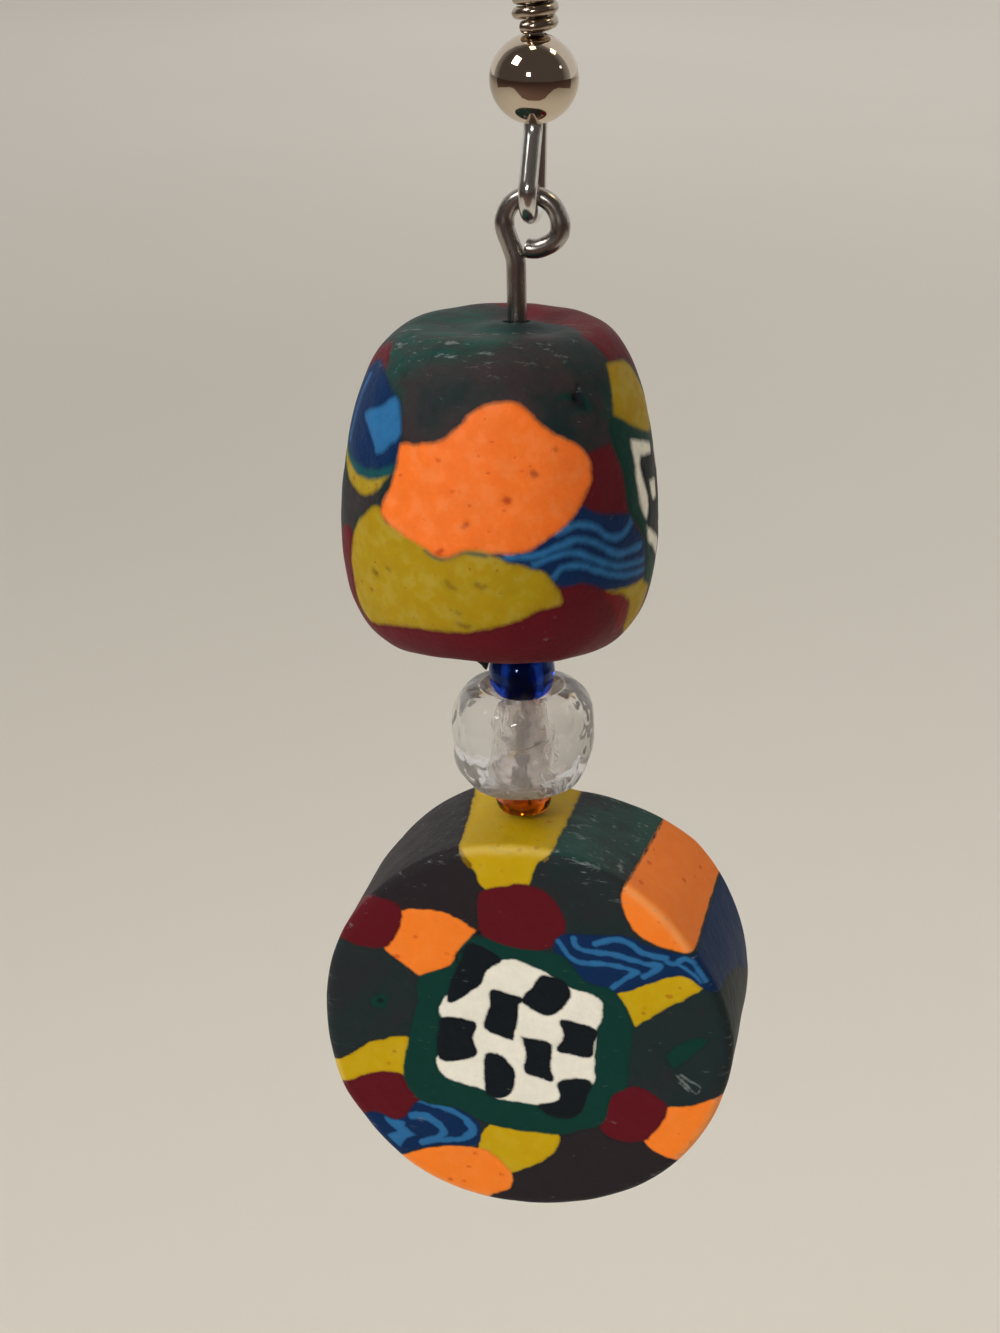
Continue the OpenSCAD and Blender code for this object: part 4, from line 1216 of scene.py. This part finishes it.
def small_bead(name, at_z, diameter, height, end_r, squares, bore, mouth_r=0.0, mouth_h=0.0, uneven=0.0):
    """A turned bead with its side, its flat rims, its mouths, if any, and its hole's wall.

    Its side and its hole's wall may lie off their true forms by slow lumps."""
    side = bulge(diameter, height, end_r, *squares, steps=SIDE_STEPS)
    inner = bore / 2
    wall_z = height / 2 - (mouth_h or BEVEL_H)
    mouth = np.array([[inner, wall_z]])
    if mouth_h:
        mouth = even(np.array([[mouth_r, height / 2], [inner, wall_z]]), MOUTH_STEPS)
    wall = np.linspace([inner, wall_z], [inner, -wall_z], WALL_STEPS)[1:-1]
    profile = np.vstack([side, mouth, wall, mouth[::-1] * [1, -1]])
    centre = np.array([PIN_X, 0, at_z])
    rings = hung(spun(profile) + centre)
    hole = np.broadcast_to((np.arange(len(profile)) >= len(side))[:, None], rings.shape[:2]).astype(float)
    if uneven:
        away = rings - hung(centre)
        flat = away.reshape(-1, 3)
        inwards = lumps(flat, depth=uneven, size_mm=1.7, seed=21).reshape(hole.shape) - uneven * 0.35
        inwards *= np.clip((profile[:, 0] - end_r) / 0.5, 0, 1)[:, None] * (1 - hole)
        rings = rings - away * (inwards / np.linalg.norm(away, axis=2))[..., None]
        spoke = away - (away @ UP)[..., None] * UP
        inside = (profile[:, 0] < inner + 0.01)[:, None]
        ripple = lumps(flat, depth=uneven * 2, size_mm=1.1, seed=22).reshape(hole.shape) * inside
        rings = rings + spoke * (ripple / np.linalg.norm(spoke, axis=2))[..., None]
    return skin(name, rings, closed=True, sharp=60, fields={"hole": hole})


def bead_heights():
    """Middle heights of the blue, clear and amber beads, from the nodes that they stand for."""
    centres = {}
    for node in ("blue_bead", "clear_bead", "amber_bead"):
        low, high = (np.array(corner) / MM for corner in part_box(node))
        centres[node] = float(((low + high) / 2 - PIVOT) @ UP)
    return centres


class EARRING_OT_ear_wire(Operator):
    """Makes the ear wire with its coil and ball"""

    bl_idname = "earring.ear_wire"
    bl_label = "Ear wire, coil and ball"

    def execute(self, context):
        bright = metal("bright_wire", (0.76, 0.75, 0.72), rough=0.14, streak=0.12)
        settle(ear_hook(), bright, "ear_hook", "hook")
        # The coil is the same metal as the ear wire; its darker, browner colour is painted shade
        fine = metal("coil_wire", (0.46, 0.38, 0.3), rough=0.14, streak=0.12)
        settle(hook_coil(), fine, "hook_coil", "hook")
        # The ball is the same plated metal as the ear wire; its darker tan colour is a painted reflection of
        # warm surroundings
        polished = mirror("mirror_ball", (0.62, 0.52, 0.41), rough=0.03)
        settle(hook_ball(), polished, "hook_ball", "hook")
        return {"FINISHED"}


class EARRING_OT_head_pin(Operator):
    """Makes the head pin"""

    bl_idname = "earring.head_pin"
    bl_label = "Head pin"

    def execute(self, context):
        dark = metal("dark_wire", (0.42, 0.385, 0.355), rough=0.24, streak=0.4)
        settle(head_pin(), dark, "head_pin", "drop")
        return {"FINISHED"}


class EARRING_OT_barrel(Operator):
    """Makes the patchwork barrel bead"""

    bl_idname = "earring.barrel"
    bl_label = "Barrel bead"

    def execute(self, context):
        tones = {"yellow": "mustard", "moss": "pine"}
        finish = clay("barrel_clay", "plum", "charcoal", BARREL_LAYERS, tones,
                      mottled=1.0, smeared=2.2, edge=0.18)
        settle(barrel_bead(), finish, "barrel_bead", "barrel")
        return {"FINISHED"}


class EARRING_OT_disc(Operator):
    """Makes the patchwork disc bead"""

    bl_idname = "earring.disc"
    bl_label = "Disc bead"

    def execute(self, context):
        tones = {"chalk": "scuff", "orange": "tangerine"}
        finish = clay("disc_clay", "charcoal", "slate", DISC_LAYERS, tones,
                      mottled=0.4, smeared=0.3, edge=0.08)
        settle(disc_bead(), finish, "disc_bead", "disc")
        return {"FINISHED"}


# Widths of the flat rims round the small beads' holes and the clear bead's mouths
BEAD_RIM = 0.05
MOUTH_RIM = 0.06
# How far the blue bead lies below its CAD node's middle, and the clear one above its own
BLUE_DOWN = 0.05
CLEAR_UP = 0.11


class EARRING_OT_glass_beads(Operator):
    """Makes the blue, clear and amber beads"""

    bl_idname = "earring.glass_beads"
    bl_label = "Glass beads"

    def execute(self, context):
        s = lengths(context.scene.bead_sizes)
        heights = bead_heights()
        bore = s.glass_bore_d
        end_r = bore / 2 + BEAD_RIM
        blue_z, clear_z = heights["blue_bead"] - BLUE_DOWN, heights["clear_bead"] + CLEAR_UP
        blue = small_bead("blue", blue_z, s.blue_d, s.blue_h, end_r, (2.2, 2.2), bore)
        finish = glass("blue_glass", (0.012, 0.07, 0.6), (0.006, 0.05, 0.3), (0.003, 0.01, 0.08),
                       waves=0.05, hole_waves=0.06, hole_rough=0.3, shine=(0.35, 0.5, 1.0))
        settle(blue, finish, "blue_bead", "drop")
        clear = small_bead("clear", clear_z, s.clear_d, s.clear_h, s.mouth_r + MOUTH_RIM, (2.0, 2.6),
                           s.clear_bore_d, s.mouth_r, s.mouth_h, uneven=0.11)
        finish = glass("clear_glass", (0.89, 0.87, 0.84), (0.95, 0.86, 0.83), (0.55, 0.48, 0.46),
                       waves=0.12, hole_waves=0.1, hole_rough=0.25, clear=0.86)
        settle(clear, finish, "clear_bead", "drop")
        amber = small_bead("amber", heights["amber_bead"], s.amber_d, s.amber_h, end_r, (2.8, 2.2), bore)
        finish = glass("amber_glass", (0.86, 0.16, 0.005), (0.95, 0.9, 0.85), (0.5, 0.4, 0.3),
                       waves=0.01, hole_waves=0.015, hole_rough=0.12, lining=1.0)
        settle(amber, finish, "amber_bead", "drop")
        return {"FINISHED"}


# The camera as fitted to the photograph: the ball's middle, the level distance and the rise from it in
# millimetres, the bearing from it, and then swing, pitch and roll in degrees
CAMERA_FOCUS = np.array([0, -4.3, -14.1])
CAMERA_DISTANCE = 77.59
CAMERA_RISE = 10.50
CAMERA_ROUND = 10.508
CAMERA_SWING = 0.680
CAMERA_PITCH = 22.147
CAMERA_ROLL = 0.614
CAMERA_FOCAL_PX = 2285.7
IMAGE_HEIGHT_PX = 1333


def camera_axes():
    """The camera's right, up and backward directions, and its place in millimetres."""
    bearing, heading = np.radians(CAMERA_ROUND), np.radians(CAMERA_ROUND + CAMERA_SWING)
    pitch, roll = np.radians(CAMERA_PITCH), np.radians(CAMERA_ROLL)
    place = CAMERA_FOCUS + CAMERA_DISTANCE * np.array([np.sin(bearing), -np.cos(bearing), 0])
    place[2] += CAMERA_RISE
    right = np.array([np.cos(heading), np.sin(heading), 0])
    ahead = np.array([-np.sin(heading) * np.cos(pitch), np.cos(heading) * np.cos(pitch), -np.sin(pitch)])
    up = np.cross(right, ahead)
    right, up = right * np.cos(roll) + up * np.sin(roll), up * np.cos(roll) - right * np.sin(roll)
    return right, up, -ahead, place


def camera():
    """The camera where the photograph was taken from."""
    right, up, behind, place = camera_axes()
    data = bpy.data.cameras.new("camera")
    data.sensor_fit = "VERTICAL"
    data.angle = 2 * np.arctan(IMAGE_HEIGHT_PX / 2 / CAMERA_FOCAL_PX)
    data.clip_start = 0.005
    body = bpy.data.objects.new("camera", data)
    turn = Matrix(np.column_stack([right, up, behind]).tolist())
    body.matrix_world = Matrix.Translation(Vector(place * MM)) @ turn.to_4x4()
    bpy.context.scene.collection.objects.link(body)
    bpy.context.scene.camera = body


def lamp(name, place_mm, aim_mm, width_mm, power, rgb, spread=180, mirrored=True, matt=True):
    """A soft square light at a place, turned to face another, with its spread in degrees.

    The camera sees none of them. A light that isn't mirrored leaves no shape of its own in polished
    surfaces, and one that isn't matt lights no matt ones."""
    data = bpy.data.lights.new(name, "AREA")
    data.energy, data.color = power, rgb
    data.size = width_mm * MM
    data.spread = np.radians(spread)
    light = bpy.data.objects.new(name, data)
    light.visible_glossy = light.visible_transmission = mirrored
    light.visible_camera, light.visible_diffuse = False, matt
    place, aim = Vector(place_mm) * MM, Vector(aim_mm) * MM
    turn = (aim - place).to_track_quat("-Z", "Y")
    light.matrix_world = Matrix.Translation(place) @ turn.to_matrix().to_4x4()
    bpy.context.scene.collection.objects.link(light)


ROOM_DARK = (0.24, 0.2, 0.18, 1)
ROOM_PALE = (1.0, 0.98, 0.95, 1)
ROOM_PALE_FROM = 0.44


def room(strength):
    """The room's light: pale from behind the earring, darker from where the camera stands.

    It brightens in proportion to the direction's part towards the back, until that is
    ROOM_PALE_FROM."""
    world = bpy.data.worlds.new("room")
    bpy.context.scene.world = world
    world.use_nodes = True
    nodes = Nodes(world.node_tree)
    way = nodes.node("ShaderNodeTexCoord", out="Generated")
    back = nodes.node("ShaderNodeSeparateXYZ", {}, {"Vector": way}, "Y")
    tone = nodes.mix((back / ROOM_PALE_FROM).clip(), ROOM_DARK, ROOM_PALE)
    light = nodes.node("ShaderNodeBackground", {}, {"Color": tone, "Strength": strength})
    nodes.node("ShaderNodeOutputWorld", {}, {"Surface": light})


# Radii of the round floor and of the small round in its middle
FLOOR_R = 4000
FLOOR_MIDDLE_R = 30


def floor_level(look):
    """The floor's height in millimetres."""
    return np.array(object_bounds()[0])[2] / MM - look.floor_drop / MM


def sheet(name, points, level, faces, finish, tone):
    """A level matt piece of the stage, from points (across, back) in millimetres."""
    mesh = bpy.data.meshes.new(name)
    mesh.from_pydata((np.column_stack([points, np.full(len(points), level)]) * MM).tolist(), [], faces)
    mesh.materials.append(finish.surface({"Base Color": tone, "Roughness": 0.9, "Specular IOR Level": 0.1}))
    piece = bpy.data.objects.new(name, mesh)
    bpy.context.scene.collection.objects.link(piece)
    return piece


def floor(look):
    """A wide plain round floor well below the hanging earring."""
    n = FLOOR_SIDES
    q = TURN * np.arange(n) / n
    way = np.column_stack([np.cos(q), np.sin(q)])
    outer = [[k, (k + 1) % n, n + (k + 1) % n, n + k] for k in range(n)]
    inner = [[n + k, n + (k + 1) % n, 2 * n] for k in range(n)]
    finish = Finish("pale_floor")
    tone = finish.shaded((*look.floor_colour, 1), 0.96 + finish.noise(0.006, 2.0) * 0.08)
    points = np.vstack([FLOOR_R * way, FLOOR_MIDDLE_R * way, [[0, 0]]])
    piece = sheet("floor", points, floor_level(look), outer + inner, finish, tone)
    piece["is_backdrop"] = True


# Where the dim floor starts: degrees to either side of the way to the camera, and millimetres from the ball
DIM_FROM = ((0, 87), (20, 90), (35, 115), (45, 180), (55, 300), (65, 357))
DIM_HALF_ANGLE = 110
DIM_FAR = 3900.0
DIM_STEPS = 89


def dim_floor(look):
    """The dim part of the floor on the photographer's side, which only shows in polished surfaces.

    It is a wedge of a ring round the ball, whose near edge bends outwards to both sides."""
    sideways = np.linspace(-DIM_HALF_ANGLE, DIM_HALF_ANGLE, DIM_STEPS)
    n = len(sideways)
    bearing = np.radians(CAMERA_ROUND + sideways)
    way = np.column_stack([np.sin(bearing), -np.cos(bearing)])
    near = np.interp(np.abs(sideways), *np.array(DIM_FROM).T)[:, None]
    points = CAMERA_FOCUS[:2] + np.vstack([near * way, DIM_FAR * way])
    faces = [[k, k + n, k + n + 1, k + 1] for k in range(n - 1)]
    finish = Finish("dim_floor")
    piece = sheet("dim_floor", points, floor_level(look) + 1, faces, finish, (*look.dim_colour, 1))
    piece.visible_camera = piece.visible_diffuse = piece.visible_transmission = piece.visible_shadow = False
    piece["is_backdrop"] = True


# What the soft lamps are turned to, in the middle of the drop
DROP_MIDDLE = (0, -4, -35)
PALE_LIGHT = (1.0, 0.98, 0.95)
# The soft lamps, which leave no shape in polished surfaces: name, place, what it faces, width, name of the
# power, colour, and spread in degrees
SOFT_LAMPS = (("key", (-240, -360, 160), DROP_MIDDLE, 240, "key_power", (1.0, 0.99, 0.97), 36),
              ("fill", (380, -180, 60), DROP_MIDDLE, 240, "fill_power", (1.0, 0.96, 0.92), 36),
              ("floor_light", (0, 900, 700), (0, 900, 0), 1200, "floor_power", PALE_LIGHT, 100))
# The lamps that show in polished surfaces: name, direction from the ball as the camera sees it (right,
# up, towards the camera), width, name of the power, share of that power, and colour
SPARKS = (("lamp_white", (-0.66, 0.51, 0.55), 130, "lamp_power", 1, (1.0, 0.99, 0.96)),
          ("lamp_warm", (-0.05, 0.92, 0.39), 75, "spark_power", 1, (1.0, 0.84, 0.5)),
          ("lamp_side", (0.585, 0.783, 0.21), 75, "spark_power", 1, (1.0, 0.84, 0.5)),
          ("lamp_dim", (0.9, 0.3, 0.3), 40, "spark_power", 1 / 8, (1.0, 0.95, 0.9)),
          ("glint", (-0.25, -0.09, 0.96), 50, "glint_power", 1, (1.0, 0.99, 0.97)))
SPARK_DISTANCE = 420
# The pale wall behind: its middle and a place that it faces, and its width
WALL_FACING = ((-190, 1000, 2150), (-190, 0, 2150))
WALL_WIDTH = 4500


class EARRING_OT_stage(Operator):
    """Makes the floor, the lights, the room and the camera"""

    bl_idname = "earring.stage"
    bl_label = "Stage"

    def execute(self, context):
        look = context.scene.stage_look
        camera()
        floor(look)
        dim_floor(look)
        room(look.room_light)
        for name, place, aim, width, key, rgb, spread in SOFT_LAMPS:
            lamp(name, place, aim, width, getattr(look, key), rgb, spread, mirrored=False)
        axes = np.array(camera_axes()[:3])
        for name, way, width, key, part, rgb in SPARKS:
            place = CAMERA_FOCUS + SPARK_DISTANCE * (np.array(way) @ axes)
            lamp(name, place, CAMERA_FOCUS, width, getattr(look, key) * part, rgb, matt=name != "glint")
        lamp("wall", *WALL_FACING, WALL_WIDTH, look.wall_power, PALE_LIGHT, matt=False)
        context.scene.view_settings.view_transform = "Standard"
        context.scene.view_settings.look = "None"
        return {"FINISHED"}


OPERATORS = (EARRING_OT_ear_wire, EARRING_OT_head_pin, EARRING_OT_barrel, EARRING_OT_disc,
             EARRING_OT_glass_beads, EARRING_OT_stage)
GROUPS = {"wire_sizes": WireSizes, "bead_sizes": BeadSizes, "clay_colours": ClayColours,
          "stage_look": StageLook}


class EARRING_PT_panel(Panel):
    """Lists the earring's sizes, colours and makers"""

    bl_label = "Drop earring"
    bl_idname = "EARRING_PT_panel"
    bl_space_type = "VIEW_3D"
    bl_region_type = "UI"
    bl_category = "Earring"

    def draw(self, context):
        layout = self.layout
        for operator in OPERATORS:
            layout.operator(operator.bl_idname)
        for name, group in GROUPS.items():
            box = layout.box()
            box.label(text=group.__doc__)
            for key in group.__annotations__:
                box.prop(getattr(context.scene, name), key)


def register():
    for group in GROUPS.values():
        bpy.utils.register_class(group)
    for operator in OPERATORS:
        bpy.utils.register_class(operator)
    bpy.utils.register_class(EARRING_PT_panel)
    for name, group in GROUPS.items():
        setattr(bpy.types.Scene, name, PointerProperty(type=group))


def unregister():
    for name in GROUPS:
        delattr(bpy.types.Scene, name)
    bpy.utils.unregister_class(EARRING_PT_panel)
    for operator in reversed(OPERATORS):
        bpy.utils.unregister_class(operator)
    for group in reversed(list(GROUPS.values())):
        bpy.utils.unregister_class(group)


def main():
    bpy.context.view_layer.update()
    register()
    for step in ("ear_wire", "head_pin", "barrel", "disc", "glass_beads", "stage"):
        getattr(bpy.ops.earring, step)()


if __name__ == "__main__":
    main()
